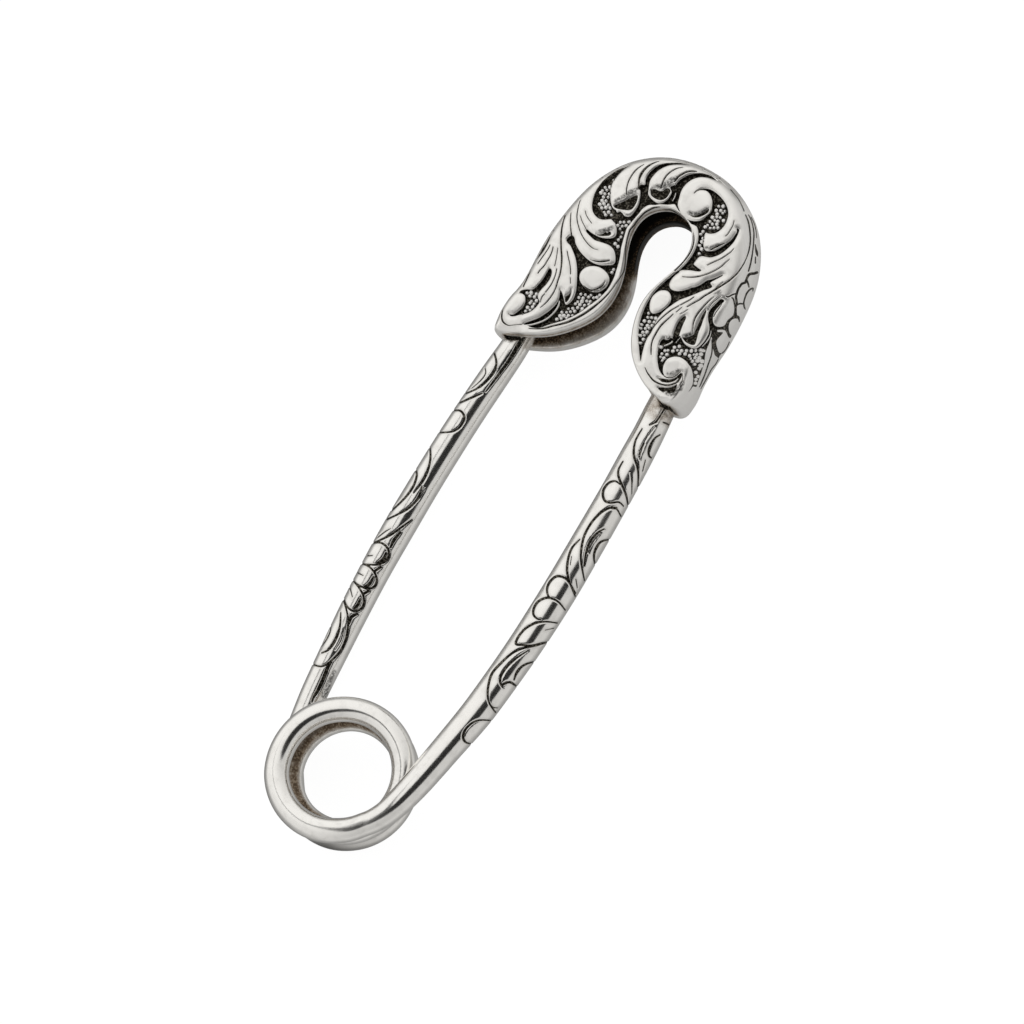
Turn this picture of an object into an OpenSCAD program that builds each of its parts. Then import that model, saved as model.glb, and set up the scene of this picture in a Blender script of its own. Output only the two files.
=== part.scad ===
// Safety pin of cast silver: a hollow scrolled cap, a coil spring, a fixed back arm and a sprung pin arm.
// Millimetres. The pin lies on its back on z = 0, +Y runs from the coil to the cap, +Z out of the face.
// The origin is the centre of the footprint on the resting plane.

/* [Coil] */
// Radius of the coil's centre line
coil_radius = 5.2; // [5.15:0.01:5.25]
// Radius of the wire in the coil
wire_radius = 0.97; // [0.9:0.01:0.99]
// Rise of the coil in one turn
coil_pitch = 2.12; // [2.12:0.01:2.3]

/* [Arms] */
// How much thicker the arms are than the wire, at their middle
arm_swell = 1; // [0.8:0.05:1]

/* [Cap] */
// Height of the cap's front plate above the resting plane, at its rim
cap_depth = 5.4; // [5.4:0.1:5.8]
// Thickness of the front and back plates
plate = 1.3; // [1.1:0.05:1.3]
// Thickness of the side wall
wall = 0.65; // [0.55:0.05:0.65]
// Height of the domed front above its rim
dome = 0.75; // [0.4:0.05:1]
// Depth of the sunk ground between the scrolls
cut_depth = 0.55; // [0.3:0.05:0.7]

/* [Hidden] */

// The drawing has its origin at the coil's centre; this moves it to the centre of the footprint.
shift = [0.09, -26.04, 0];

// Steps: round a wire, along an arm, along the coil, along the cap and across its front.
sides = 16;
arm_steps = 32;
coil_steps = 50;
cap_steps = 100;
front_steps = 22;

// Cap rails, left tip to right tip. Columns: x, y.
inner_rail = [
    [-7.3, 37.85], [-6.6, 38.2], [-5.8, 38.6], [-4.9, 39.15], [-4.0, 39.9], [-3.0, 40.8],
    [-2.1, 41.8], [-1.5, 42.8], [-1.15, 43.9], [-1.05, 45.0], [-1.2, 46.1], [-1.65, 47.4],
    [-2.2, 48.7], [-2.55, 50.0], [-2.6, 51.2], [-2.3, 52.2], [-1.6, 52.95], [-0.6, 53.4],
    [0.5, 53.4], [1.5, 53.0], [2.3, 52.25], [2.75, 51.3], [2.8, 50.2], [2.6, 49.0],
    [2.25, 47.8], [1.85, 46.5], [1.7, 45.2], [1.85, 43.9], [2.3, 42.6], [3.1, 41.4],
    [4.2, 40.4], [5.4, 39.7], [6.4, 39.3], [7.1, 39.0],
];
outer_rail = [
    [-8.9, 37.7], [-9.15, 38.6], [-9.3, 39.8], [-9.2, 41.1], [-8.95, 42.5], [-9.0, 44.0],
    [-9.1, 45.5], [-9.15, 47.0], [-9.1, 48.5], [-8.95, 50.0], [-8.65, 51.5], [-8.2, 52.9],
    [-7.5, 54.3], [-6.6, 55.6], [-5.5, 56.65], [-4.2, 57.45], [-2.7, 57.95], [-1.1, 58.2],
    [0.4, 58.2], [1.9, 58.0], [3.4, 57.45], [4.75, 56.65], [5.85, 55.8], [6.8, 54.7],
    [7.5, 53.4], [7.95, 52.0], [8.2, 50.5], [8.4, 49.0], [8.5, 47.4], [8.5, 45.8],
    [8.4, 44.2], [8.4, 42.6], [8.6, 41.0], [8.65, 39.25],
];

// Sunk ground between the scrolls. Columns of each stroke: x, y, half width.
cuts = [
    // left lobe, from the tip's knob upward
    [[-7.6, 39.4, 0.05], [-7.2, 39.8, 0.15], [-6.8, 40.4, 0.28], [-6.5, 41.1, 0.32], [-6.9, 41.8, 0.3]],
    [[-7.9, 41.8, 0.1], [-7.0, 41.9, 0.25], [-6.6, 43.1, 0.26], [-6.7, 44.3, 0.14]],
    [[-4.7, 42.1, 0.1], [-4.6, 41.3, 0.2], [-4.9, 40.5, 0.28], [-5.5, 39.8, 0.25], [-6.1, 39.4, 0.1]],
    [[-4.6, 40.6, 0.3], [-4.0, 41.5, 0.4], [-3.4, 42.4, 0.5], [-2.9, 43.3, 0.55], [-2.5, 43.9, 0.4]],
    [[-5.0, 43.1, 0.06], [-4.4, 42.5, 0.18], [-3.8, 42.2, 0.3]],
    [[-4.8, 45.8, 0.28], [-4.3, 44.8, 0.16], [-3.9, 43.8, 0.16], [-3.8, 43.0, 0.2]],
    [[-3.8, 44.2, 0.12], [-3.0, 44.1, 0.15], [-2.2, 44.4, 0.14], [-1.8, 45.2, 0.13], [-1.9, 46.0, 0.13]],
    [[-6.6, 47.4, 0.32], [-6.1, 47.1, 0.24], [-5.2, 46.4, 0.2], [-4.2, 46.3, 0.16], [-2.7, 46.6, 0.15]],
    [[-2.3, 46.8, 0.15], [-2.2, 47.7, 0.18], [-2.6, 48.4, 0.22], [-3.2, 48.6, 0.24], [-4.4, 48.5, 0.15]],
    [[-4.4, 48.5, 0.15], [-5.1, 48.4, 0.14], [-5.8, 48.6, 0.06]],
    [[-2.8, 48.9, 0.2], [-3.1, 49.8, 0.25], [-3.6, 50.6, 0.32], [-2.9, 51.1, 0.2]],
    // crescent under the first top leaf
    [[-5.7, 54.9, 0.08], [-6.4, 53.8, 0.26], [-6.6, 52.6, 0.34], [-6.2, 51.5, 0.38], [-5.4, 50.7, 0.36]],
    [[-5.4, 50.7, 0.36], [-4.5, 50.6, 0.3], [-3.6, 50.7, 0.3]],
    [[-4.7, 51.4, 0.1], [-4.1, 51.8, 0.22], [-3.7, 52.2, 0.28], [-3.5, 53.0, 0.1]],
    [[-2.6, 56.8, 0.1], [-3.3, 56.0, 0.16], [-3.5, 55.0, 0.2], [-3.4, 54.1, 0.24], [-2.9, 53.0, 0.24]],
    [[-2.9, 53.0, 0.24], [-2.8, 52.1, 0.16], [-2.9, 51.3, 0.15]],
    [[-2.8, 54.1, 0.14], [-2.2, 54.1, 0.22], [-1.5, 54.3, 0.26], [-1.2, 55.0, 0.16]],
    // round the large top volute
    [[1.8, 57.4, 0.06], [0.6, 57.1, 0.14], [-0.3, 56.6, 0.2], [-0.8, 55.6, 0.24], [-0.8, 54.8, 0.2]],
    [[-0.8, 54.8, 0.2], [-0.3, 54.0, 0.12]],
    [[0.7, 55.8, 0.05], [1.3, 56.3, 0.1], [2.3, 56.2, 0.2], [3.1, 55.7, 0.38], [3.5, 54.9, 0.5]],
    [[3.5, 54.9, 0.5], [3.3, 54.1, 0.5], [2.8, 53.5, 0.36], [2.2, 53.6, 0.16], [1.7, 53.4, 0.08]],
    [[2.7, 53.0, 0.15], [3.2, 52.0, 0.16], [3.3, 51.0, 0.22], [3.4, 50.2, 0.24], [4.4, 50.1, 0.06]],
    [[5.4, 54.5, 0.12], [5.6, 53.6, 0.16], [5.3, 52.6, 0.22], [4.6, 51.8, 0.22], [3.8, 51.6, 0.14]],
    // right lobe
    [[5.8, 49.8, 0.24], [5.3, 48.9, 0.3], [4.7, 48.0, 0.24], [3.9, 47.6, 0.2], [2.5, 47.7, 0.14]],
    [[3.9, 47.3, 0.22], [3.6, 46.2, 0.14], [3.4, 45.4, 0.14], [2.7, 45.0, 0.2], [2.6, 44.2, 0.36]],
    [[2.6, 44.2, 0.36], [2.9, 43.3, 0.34], [3.3, 42.4, 0.2], [3.9, 41.4, 0.06]],
    [[5.3, 46.1, 0.12], [5.4, 45.3, 0.2], [5.6, 44.2, 0.2], [5.0, 43.6, 0.2], [5.2, 42.6, 0.24]],
    [[5.2, 42.6, 0.24], [5.7, 41.6, 0.16], [6.4, 41.1, 0.08]],
    [[5.7, 43.4, 0.28], [6.6, 43.7, 0.26], [7.4, 43.6, 0.26]],
    [[6.3, 44.5, 0.1], [6.9, 44.6, 0.2], [7.1, 45.3, 0.1], [7.0, 46.8, 0.1]],
    [[7.5, 42.0, 0.08], [7.6, 41.3, 0.16], [7.2, 40.6, 0.26], [6.8, 40.1, 0.16]],
];

// Side of the cap from the front's edge to the back.
// Columns: step in from the widest line, share of the height.
skin = [
    [0.9, 0.86], [0.48, 0.77], [0.15, 0.65], [0, 0.5], [0.08, 0.32], [0.3, 0.16], [0.65, 0.05], [1.1, 0],
];

// Arm centre lines, from the coil into the cap. Columns: x, y, share of the way from the coil's height
// to the cap's, radius above the wire's.
back_line = [
    [4.5, -2.6, 0, 0], [5.2, -1.4, -0.03, 0.05], [5.75, 0, -0.05, 0.12], [6.2, 2, -0.03, 0.2],
    [6.55, 4, 0.02, 0.24], [6.85, 6, 0.08, 0.27], [7.15, 8, 0.14, 0.32], [7.4, 10, 0.2, 0.36],
    [7.6, 13, 0.29, 0.38], [7.72, 16, 0.38, 0.4], [7.75, 19, 0.47, 0.42], [7.73, 22, 0.55, 0.43],
    [7.62, 25, 0.64, 0.42], [7.5, 28, 0.73, 0.4], [7.35, 31, 0.82, 0.37], [7.15, 34, 0.9, 0.34],
    [6.95, 36.5, 0.97, 0.3], [6.75, 38.5, 1, 0.27], [6.6, 40.2, 1, 0.2], [6.45, 42, 1, 0.12],
    [6.35, 43.5, 1, 0],
];
pin_line = [
    [-4.5, -2.6, 0, 0], [-5.3, -1.45, 0.01, 0.01], [-5.9, -0.1, 0.02, 0.04], [-6.3, 1.4, 0.05, 0.06],
    [-6.6, 3.2, 0.08, 0.08], [-6.85, 5, 0.11, 0.1], [-7.15, 8.5, 0.18, 0.16], [-7.4, 12, 0.28, 0.22],
    [-7.6, 16, 0.39, 0.26], [-7.66, 20, 0.5, 0.3], [-7.65, 24, 0.62, 0.3], [-7.55, 28, 0.74, 0.3],
    [-7.37, 31.5, 0.84, 0.3], [-7.12, 35, 0.93, 0.28], [-6.93, 37.5, 0.99, 0.22], [-6.98, 39.5, 1, 0.15],
    [-7.3, 41.5, 1, -0.15], [-7.75, 43.3, 1, -0.5], [-8.05, 44.4, 1, -0.85],
];

// Winding angles, counted clockwise from the face: where the back arm leaves, the cut,
// and where the pin arm leaves.
turn_start = 30;
turn_split = 720;
turn_end = 870;
// The cut faces stand apart by these angles, at the back arm and at the split.
joint_gap = 1.2;
split_gap = 3.5;
// Heights of the wire's centre line: at the coil's lowest turn, at its top, and inside the cap.
low_z = wire_radius;
top_z = low_z + coil_pitch * (turn_end - turn_start) / 360;
cap_z = cap_depth / 2;

// Size of the hollow's cut corners.
hollow_corner = 0.5;

// A smooth curve through the rows of a list, u from 0 to 1.
function blend4(a, b, c, d, t) =
    0.5 * (2 * b + (c - a) * t + (2 * a - 5 * b + 4 * c - d) * t * t + (3 * b - a - 3 * c + d) * t * t * t);
function along(rows, u) =
    let (n = len(rows) - 1)
    let (s = min(u * n, n - 0.00001))
    let (i = floor(s))
    blend4(rows[max(i - 1, 0)], rows[i], rows[i + 1], rows[min(i + 2, n)], s - i);

// Distance from a point to a tapered stroke, negative inside.
function leg_gap(p, a, b) =
    let (e = [b.x - a.x, b.y - a.y])
    let (t = max(0, min(1, ([p.x - a.x, p.y - a.y] * e) / (e * e))))
    norm([p.x - a.x - t * e.x, p.y - a.y - t * e.y]) - (a.z + t * (b.z - a.z));
function stroke_gap(p, s) = min([for (i = [0:len(s) - 2]) leg_gap(p, s[i], s[i + 1])]);
function near(p, s) = abs(p.x - s[0].x) + abs(p.y - s[0].y) < 5;
function ground_gap(p) = min([1, for (s = cuts) if (near(p, s)) stroke_gap(p, s)]);

// Height of the relief: sunk inside a stroke, swelling up to full height away from it.
function ease(t) = let (c = max(0, min(1, t))) c * c * (3 - 2 * c);
function relief(p) =
    let (g = ground_gap(p))
    0.18 * ease(g / 0.8) - cut_depth * (1 - ease((g + 0.15) / 0.42));

// Front of the cap at share f of its plate: a plain rim, then the dome with its relief. The tips sit lower.
function bulge(f) = dome * ease(f / 0.5) * (1 - 1.2 * ease((f - 0.5) / 0.5));
function rim_height(w) = cap_depth - 0.5 * (1 - ease((w - 1) / 2.5));
function swell(w) = min(1.1, 0.55 + 0.08 * w);
function front_point(a, e, w, f) =
    let (p = a + e * w * f)
    let (fade = ease((w * f - 0.35) / 0.3) * (1 - ease((f - 0.9) / 0.1)))
    [p.x, p.y, rim_height(w) + ease(w / 6) * bulge(f) + fade * relief(p)];

// One closed cross-section of the cap: front, side, back, then the hollow's back, side and front.
function section(u) =
    let (a = along(inner_rail, u))
    let (b = along(outer_rail, u))
    let (w = norm(b - a))
    let (e = (b - a) / w)
    let (k = swell(w))
    let (edge = w - k * skin[0][0])
    let (h = (rim_height(w) + ease(w / 6) * bulge(1)) / skin[0][1])
    let (deep = w - wall)
    let (flat = deep - min(hollow_corner, deep * 0.4))
    let (under = cap_depth - plate)
    let (hollow = [
        [0, plate], [flat * 0.5, plate], [flat, plate], [deep, plate + hollow_corner],
        [deep, under - hollow_corner], [flat, under], [flat * 0.5, under], [0, under],
    ])
    [
        for (j = [0:front_steps - 1]) front_point(a, e, edge, j / front_steps),
        for (s = skin) [a.x + e.x * (w - k * s[0]), a.y + e.y * (w - k * s[0]), h * s[1]],
        [a.x + e.x * w * 0.3, a.y + e.y * w * 0.3, 0],
        [a.x, a.y, 0],
        for (s = hollow) [a.x + e.x * s[0], a.y + e.y * s[0], s[1]],
    ];

cap_outside = front_steps + len(skin) + 2;
cap_ring = cap_outside + 8;

// Sides of a tube of rings; each ring has n points.
function tube_sides(rings, n) = [
    for (i = [0:rings - 2])
        for (j = [0:n - 1])
            let (a = i * n + j)
            let (b = i * n + (j + 1) % n)
            each [[a, b, a + n], [b, b + n, a + n]],
];

// End of the cap: each outside edge joins the hollow's point abreast of it.
function partner(j) =
    let (k = j - front_steps)
    j < front_steps ? cap_ring - 1 - floor(j / front_steps * 2.99)
    : k <= 1 ? cap_ring - 3
    : k <= 3 ? cap_ring - 4
    : k <= 5 ? cap_outside + 3
    : k <= 7 ? cap_outside + 2
    : k == 8 ? cap_outside + 1 : cap_outside;
function cap_end(base, flip) = [
    for (j = [0:cap_outside - 2])
        let (a = base + j)
        let (b = base + j + 1)
        let (p = base + partner(j))
        let (q = base + partner(j + 1))
        each [
            flip ? [a, p, b] : [a, b, p],
            if (p != q) flip ? [b, p, q] : [b, q, p],
        ],
];

// The wire's path: a turn of the coil at angle t, and an arm that starts at height z.
function coil_point(t) = [
    coil_radius * cos(-t), coil_radius * sin(-t), top_z - coil_pitch * (t - turn_start) / 360, wire_radius,
];
function arm_row(rows, z, u) =
    let (q = along(rows, u))
    [q[0], q[1], z + (cap_z - z) * q[2], wire_radius + arm_swell * q[3]];

// Points of a ring round row i of a path. Columns of a row: x, y, z, radius.
function ring_points(rows, i) =
    let (here = [rows[i].x, rows[i].y, rows[i].z])
    let (back = rows[max(i - 1, 0)])
    let (next = rows[min(i + 1, len(rows) - 1)])
    let (t = [next.x - back.x, next.y - back.y, next.z - back.z])
    let (s = cross(t, [0, 0, 1]) / norm(cross(t, [0, 0, 1])))
    let (v = cross(s, t) / norm(cross(s, t)))
    [
        for (k = [0:sides - 1])
            let (turn = 360 * (k + 0.5) / sides)
            here + rows[i][3] * (cos(turn) * s + sin(turn) * v),
    ];

// A round bar along a path, closed by a flat face at each end.
module bar(rows) {
    n = len(rows);
    first = [for (k = [sides - 1:-1:0]) k];
    last = [for (k = [0:sides - 1]) (n - 1) * sides + k];
    polyhedron(
        [for (i = [0:n - 1]) each ring_points(rows, i)],
        concat([first], tube_sides(n, sides), [last])
    );
}

module head() {
    color("Silver")
    translate(shift)
    polyhedron(
        [for (i = [0:cap_steps]) each section(i / cap_steps)],
        concat(tube_sides(cap_steps + 1, cap_ring), cap_end(0, true), cap_end(cap_steps * cap_ring, false))
    );
}

module back_arm() {
    color("Gainsboro")
    translate(shift)
    bar([for (i = [0:arm_steps]) arm_row(back_line, top_z, i / arm_steps)]);
}

module coil() {
    color("LightGray")
    translate(shift)
    let (from = turn_start + joint_gap)
    let (to = turn_split - split_gap)
    bar([for (i = [0:coil_steps]) coil_point(from + (to - from) * i / coil_steps)]);
}

module pin_arm() {
    color("WhiteSmoke")
    translate(shift)
    bar([
        for (t = [turn_split:15:turn_end - 14]) coil_point(t),
        for (i = [0:arm_steps]) arm_row(pin_line, low_z, i / arm_steps),
    ]);
}

head();
back_arm();
coil();
pin_arm();
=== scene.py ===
"""Cast silver safety pin: the looks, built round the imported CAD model.

Lengths are millimetres in the drawing's frame, as in the CAD source: the origin is the coil's centre on the
resting plane, +Y runs towards the cap and +Z out of the engraved face. `to_row` moves them to metres in the
row frame. The carving is drawn as strokes on a plane at the height of the face and carried down on to the
metal along the photograph's line of sight, so that it also lies right on the shoulder and the side.
"""

import logging
import math
from dataclasses import dataclass, field
from enum import Enum

import bpy
import numpy as np
from mathutils import Matrix


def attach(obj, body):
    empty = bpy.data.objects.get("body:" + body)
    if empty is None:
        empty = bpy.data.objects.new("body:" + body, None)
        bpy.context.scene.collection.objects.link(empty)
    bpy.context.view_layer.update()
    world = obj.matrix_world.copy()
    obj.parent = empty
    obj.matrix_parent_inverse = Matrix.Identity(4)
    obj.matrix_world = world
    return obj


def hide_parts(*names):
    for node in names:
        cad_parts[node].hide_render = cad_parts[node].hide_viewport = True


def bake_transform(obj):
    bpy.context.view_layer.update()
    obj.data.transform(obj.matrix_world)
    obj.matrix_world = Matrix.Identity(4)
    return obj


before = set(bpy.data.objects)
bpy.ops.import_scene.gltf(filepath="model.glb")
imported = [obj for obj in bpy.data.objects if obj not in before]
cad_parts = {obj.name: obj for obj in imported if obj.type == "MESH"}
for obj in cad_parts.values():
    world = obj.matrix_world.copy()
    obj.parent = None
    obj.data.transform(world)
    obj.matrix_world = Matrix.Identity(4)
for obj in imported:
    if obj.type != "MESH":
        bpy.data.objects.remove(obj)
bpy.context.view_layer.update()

Array = np.ndarray
Row = tuple[float, ...]
Socket = bpy.types.NodeSocket
LOG = logging.getLogger("safety_pin")

MM = 0.001
FOOTPRINT_SHIFT = np.array([0.09, -26.04, 0.0])
# The camera's place in the drawing, and the height of the plane that the face's drawing lies on.
EYE = np.array([160.273, -23.221, 475.012])
FACE_Z = 5.6
# Direction from the cap to the eye, seen from above.
EYE_SIDE = (0.914, -0.406)
# Sideways shift of an arm's drawing for each millimetre below its middle, along the line of sight.
SIGHT_SHIFT = (0.338, -0.103)
# Distances to marks are worked out up to REACH, and count as FAR beyond it.
REACH = 0.45
FAR = 1.0
# A field of the finish that is shifted by this much shows nothing.
CLEAR = 2.0
LEGS_PER_ROW = 3


def to_row(points: Array) -> Array:
    """Points of the drawing, in millimetres, as metres in the row frame."""
    return (points + FOOTPRINT_SHIFT) * MM


def on_face_plane(points: Array) -> tuple[Array, Array]:
    """Where sight lines through points meet the plane of the face: e + (p - e) (ez - f) / (ez - pz)."""
    share = (EYE[2] - FACE_Z) / (EYE[2] - points[..., 2])
    return tuple(EYE[i] + (points[..., i] - EYE[i]) * share for i in (0, 1))


def ease(t: Array | float) -> Array:
    """Smooth step: 0 below 0, 1 above 1, and 3t^2 - 2t^3 between them."""
    c = np.clip(t, 0.0, 1.0)
    return c * c * (3.0 - 2.0 * c)


def curve_through(rows: Array, u: Array) -> Array:
    """A smooth curve through the rows of a table.

    Between two rows it is the cubic that passes through both and has there the slope of the line from the
    row before to the row after (a Catmull-Rom curve).

    Args:
        rows: Points, one to a row; further axes are carried along.
        u: Where on the curve, from 0 at the first row to 1 at the last.

    Returns:
        One point for each value of u.
    """
    last = len(rows) - 1
    place = np.minimum(np.asarray(u) * last, last - 1e-6)
    i = place.astype(int)
    t = (place - i).reshape((-1,) + (1,) * (rows.ndim - 1))
    a, b = rows[np.maximum(i - 1, 0)], rows[i]
    c, d = rows[i + 1], rows[np.minimum(i + 2, last)]
    return 0.5 * (2 * b + (c - a) * t + (2 * a - 5 * b + 4 * c - d) * t**2 + (3 * b - a - 3 * c + d) * t**3)


def fallen_away(distance: Array, radius: float) -> Array:
    """How far a quarter round has fallen at a distance from its end: r - sqrt(r^2 - (r - d)^2)."""
    return radius - np.sqrt(np.clip(radius**2 - np.clip(radius - distance, 0, radius) ** 2, 0, 1))


def fair(rows: Array, passes: int) -> Array:
    """Rows with their small kinks smoothed out, each pass a mean of neighbours with weights 1, 2, 1.

    Args:
        rows: The rows; the first and the last stay where they are.
        passes: How often the mean is taken.

    Returns:
        The smoothed rows.
    """
    smooth = rows.astype(float).copy()
    for _ in range(passes):
        smooth[1:-1] = 0.25 * smooth[:-2] + 0.5 * smooth[1:-1] + 0.25 * smooth[2:]
    return smooth


def even_steps(points: Array, count: int) -> Array:
    """Places that divide a polyline into equal lengths.

    Args:
        points: The polyline, one point to a row.
        count: Number of places, both ends included.

    Returns:
        Fractional row numbers.
    """
    legs = np.linalg.norm(np.diff(points, axis=0), axis=1)
    length = np.concatenate([[0.0], np.cumsum(legs)])
    return np.interp(np.linspace(0, length[-1], count), length, np.arange(len(points)))


def rows_at(table: Array, place: Array) -> Array:
    """A fine table at fractional row numbers.

    Args:
        table: Rows of values.
        place: The row numbers.

    Returns:
        A row for each number, drawn straight between its two neighbours.
    """
    i = np.minimum(place.astype(int), len(table) - 2)
    t = (place - i).reshape((-1,) + (1,) * (table.ndim - 1))
    return table[i] * (1 - t) + table[i + 1] * t


class Cut(Enum):
    """What a mark of the graver leaves. The first four are closed outlines, the rest strokes with a width."""

    GROUND = "ground sunk to full depth and blackened"
    ISLE = "metal left standing in the ground"
    FACET = "shallow blackened hollow in a leaf"
    BEADS = "part of the ground with a beaded floor"
    LINE = "thin engraved line"
    RIM = "thin bright edge left standing in the ground"
    # Soft dark specks: real oxide on the arms, and painted shade on the leaves of the face.
    OXIDE_AND_SHADE = "soft specks of oxide left on the metal"


OUTLINES = (Cut.GROUND, Cut.ISLE, Cut.FACET, Cut.BEADS)


@dataclass(frozen=True)
class Plot:
    """Points laid out on a flat drawing, kept in order of x so that a mark finds those near it."""

    shape: tuple[int, ...]
    order: Array
    x: Array
    y: Array

    @classmethod
    def of(cls, x: Array, y: Array) -> "Plot":
        """The plot of points whose two coordinates come as arrays of one shape."""
        order = np.argsort(x, axis=None)
        return cls(x.shape, order, x.ravel()[order].astype(np.float32), y.ravel()[order].astype(np.float32))

    def slices(self, low: Array, high: Array) -> list[slice]:
        """For each pair of bounds, the points whose x is from low up to high."""
        ends = np.searchsorted(self.x, np.stack([low, high]).astype(np.float32))
        return [slice(a, b) for a, b in ends.T]

    def laid_back(self, values: Array) -> Array:
        """Values in order of x, put back in the points' first shape."""
        out = np.empty(self.order.shape, np.float32)
        out[self.order] = values
        return out.reshape(self.shape)


@dataclass(frozen=True)
class Mark:
    """One mark of the graver: its kind and its rows.

    A row is x and y in an outline, and x, y and half width in a stroke.
    """

    cut: Cut
    rows: tuple[Row, ...]

    def legs(self) -> tuple[Array, Array]:
        """The mark as short straight legs along a smooth curve through its rows.

        Returns:
            Both ends of each leg, as x, y and half width. An outline closes and has no width.
        """
        rows = np.array(self.rows, float)
        first, last = 0, len(rows) - 1
        if self.cut in OUTLINES:
            rows = np.column_stack([rows, 0 * rows[:, 0]])[[-1, *range(len(rows)), 0, 1]]
            first, last = 1, len(rows) - 2
        count = LEGS_PER_ROW * (last - first) + 1
        curve = curve_through(rows, np.linspace(first, last, count) / (len(rows) - 1)).astype(np.float32)
        return curve[:-1], curve[1:]

    def gap(self, plot: Plot) -> Array:
        """Distance from points to the mark's edge, negative inside.

        The distance to a leg is that to its centre line less the half width abreast of the point. A point is
        inside an outline where a line from it along x crosses the outline an odd number of times.

        Args:
            plot: The points.

        Returns:
            The distance in millimetres in the plot's order, FAR where no leg is near.
        """
        a, b = self.legs()
        best = np.full(plot.x.shape, FAR, np.float32)
        reach = REACH + np.maximum(a[:, 2], b[:, 2])
        low, high = np.minimum(a[:, 0], b[:, 0]), np.maximum(a[:, 0], b[:, 0])
        for (ax, ay, ar), (bx, by, br), near in zip(a, b, plot.slices(low - reach, high + reach)):
            x, y = plot.x[near], plot.y[near]
            dx, dy = bx - ax, by - ay
            t = np.clip(((x - ax) * dx + (y - ay) * dy) / (dx * dx + dy * dy + 1e-9), 0, 1)
            away = np.hypot(x - ax - t * dx, y - ay - t * dy)
            best[near] = np.minimum(best[near], away - ar - t * (br - ar))
        if self.cut not in OUTLINES:
            return best
        inside = np.zeros(plot.x.shape, bool)
        for (ax, ay, _), (bx, by, _), across in zip(a, b, plot.slices(low, high)):
            if across.stop > across.start:
                inside[across] ^= plot.y[across] < ay + (plot.x[across] - ax) * (by - ay) / (bx - ax)
        return np.where(inside, -best, best)


def nearest(marks: list[Mark], cuts: tuple[Cut, ...], plot: Plot) -> Array:
    """Distance to the nearest mark of some kinds, negative inside, in the plot's order."""
    gaps = [mark.gap(plot) for mark in marks if mark.cut in cuts]
    return np.minimum.reduce(gaps) if gaps else np.full(plot.x.shape, FAR, np.float32)


def sunk_ground(marks: list[Mark], plot: Plot) -> Array:
    """Distance to the edge of the ground, negative inside, its isles and rims counted as outside."""
    left = nearest(marks, (Cut.ISLE, Cut.RIM), plot)
    return np.maximum(nearest(marks, (Cut.GROUND,), plot), -left)


@dataclass(frozen=True)
class Boss:
    """A raised round or oval boss: centre, half lengths and height."""

    x: float
    y: float
    rx: float
    ry: float
    height: float = 0.1

    def rise(self, x: Array, y: Array) -> Array:
        """Height of the boss, a shallow bowl upside down: height times 1 - q, q the oval's radius squared."""
        return self.height * np.clip(1 - ((x - self.x) / self.rx) ** 2 - ((y - self.y) / self.ry) ** 2, 0, 1)


@dataclass(frozen=True)
class Beading:
    """Beads left on the floor of the sunk ground, on a jittered lattice with every second row staggered."""

    pitch: float = 0.345
    jitter: float = 0.22
    low_radius: float = 0.125
    high_radius: float = 0.185
    # A centre lies this far inside the ground's edge, and its bead may reach this far past it.
    edge_gap: float = 0.06
    overhang: float = 0.02
    seed: int = 11
    cells: int = 96
    corner: tuple[float, float] = (-12.0, 36.0)

    def inside(self, plot: Plot, marks: list[Mark]) -> Array:
        """How deep points are inside the nearest bead, its radius less the distance to its centre.

        A bead is left where its centre is well inside a beaded outline and clear of the ground's edge.

        Args:
            plot: The points.
            marks: All marks of the drawing.

        Returns:
            Positive inside a bead, down to -FAR away from them, in the plot's order.
        """
        rng = np.random.default_rng(self.seed)
        cell = np.stack(np.meshgrid(np.arange(self.cells), np.arange(self.cells), indexing="ij"), -1)
        stagger = 0.5 * (cell[..., :1] % 2) * np.array([0, 1])
        shake = rng.uniform(-self.jitter, self.jitter, cell.shape)
        centre = (cell + stagger + shake) * self.pitch + self.corner
        radius = rng.uniform(self.low_radius, self.high_radius, cell.shape[:2])
        centres = Plot.of(centre[..., 0], centre[..., 1])
        beaded = centres.laid_back(nearest(marks, (Cut.BEADS,), centres))
        ground = centres.laid_back(sunk_ground(marks, centres))
        kept = (beaded < 0) & (ground < -self.edge_gap)
        radius = np.where(kept, np.minimum(radius, self.overhang - ground), -FAR)
        i0 = np.floor((plot.x - self.corner[0]) / self.pitch).astype(int)
        j0 = np.floor((plot.y - self.corner[1]) / self.pitch).astype(int)
        best = np.full(plot.x.shape, -FAR, np.float32)
        for di in (-1, 0, 1):
            for dj in (-2, -1, 0, 1):
                i, j = np.clip(i0 + di, 0, self.cells - 1), np.clip(j0 + dj, 0, self.cells - 1)
                away = np.hypot(plot.x - centre[i, j, 0], plot.y - centre[i, j, 1])
                best = np.maximum(best, radius[i, j] - away)
        return best


@dataclass
class Relief:
    """What the carving does at each point.

    Height is how far the metal stands up, recess the distance to the nearest cut's edge, negative inside it,
    and bead the depth inside a bead, all in millimetres. The specks field runs up to 1 for dark specks, real
    oxide on the arms and painted shade on the face's leaves, and down to -1 for satin metal.
    """

    height: Array
    recess: Array
    bead: Array
    oxide_and_shade: Array

    @classmethod
    def plain(cls, shape: tuple[int, ...]) -> "Relief":
        """No carving at all."""
        return cls(np.zeros(shape), np.full(shape, FAR), np.full(shape, -FAR), np.zeros(shape))

    def fields(self, tarnish_and_shade: Array) -> dict[str, Array]:
        """The fields that the finish reads, by name, with the tarnish and painted shade."""
        return {"recess": self.recess, "bead": self.bead, "oxide_and_shade": self.oxide_and_shade, "tarnish_and_shade": tarnish_and_shade}


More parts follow.
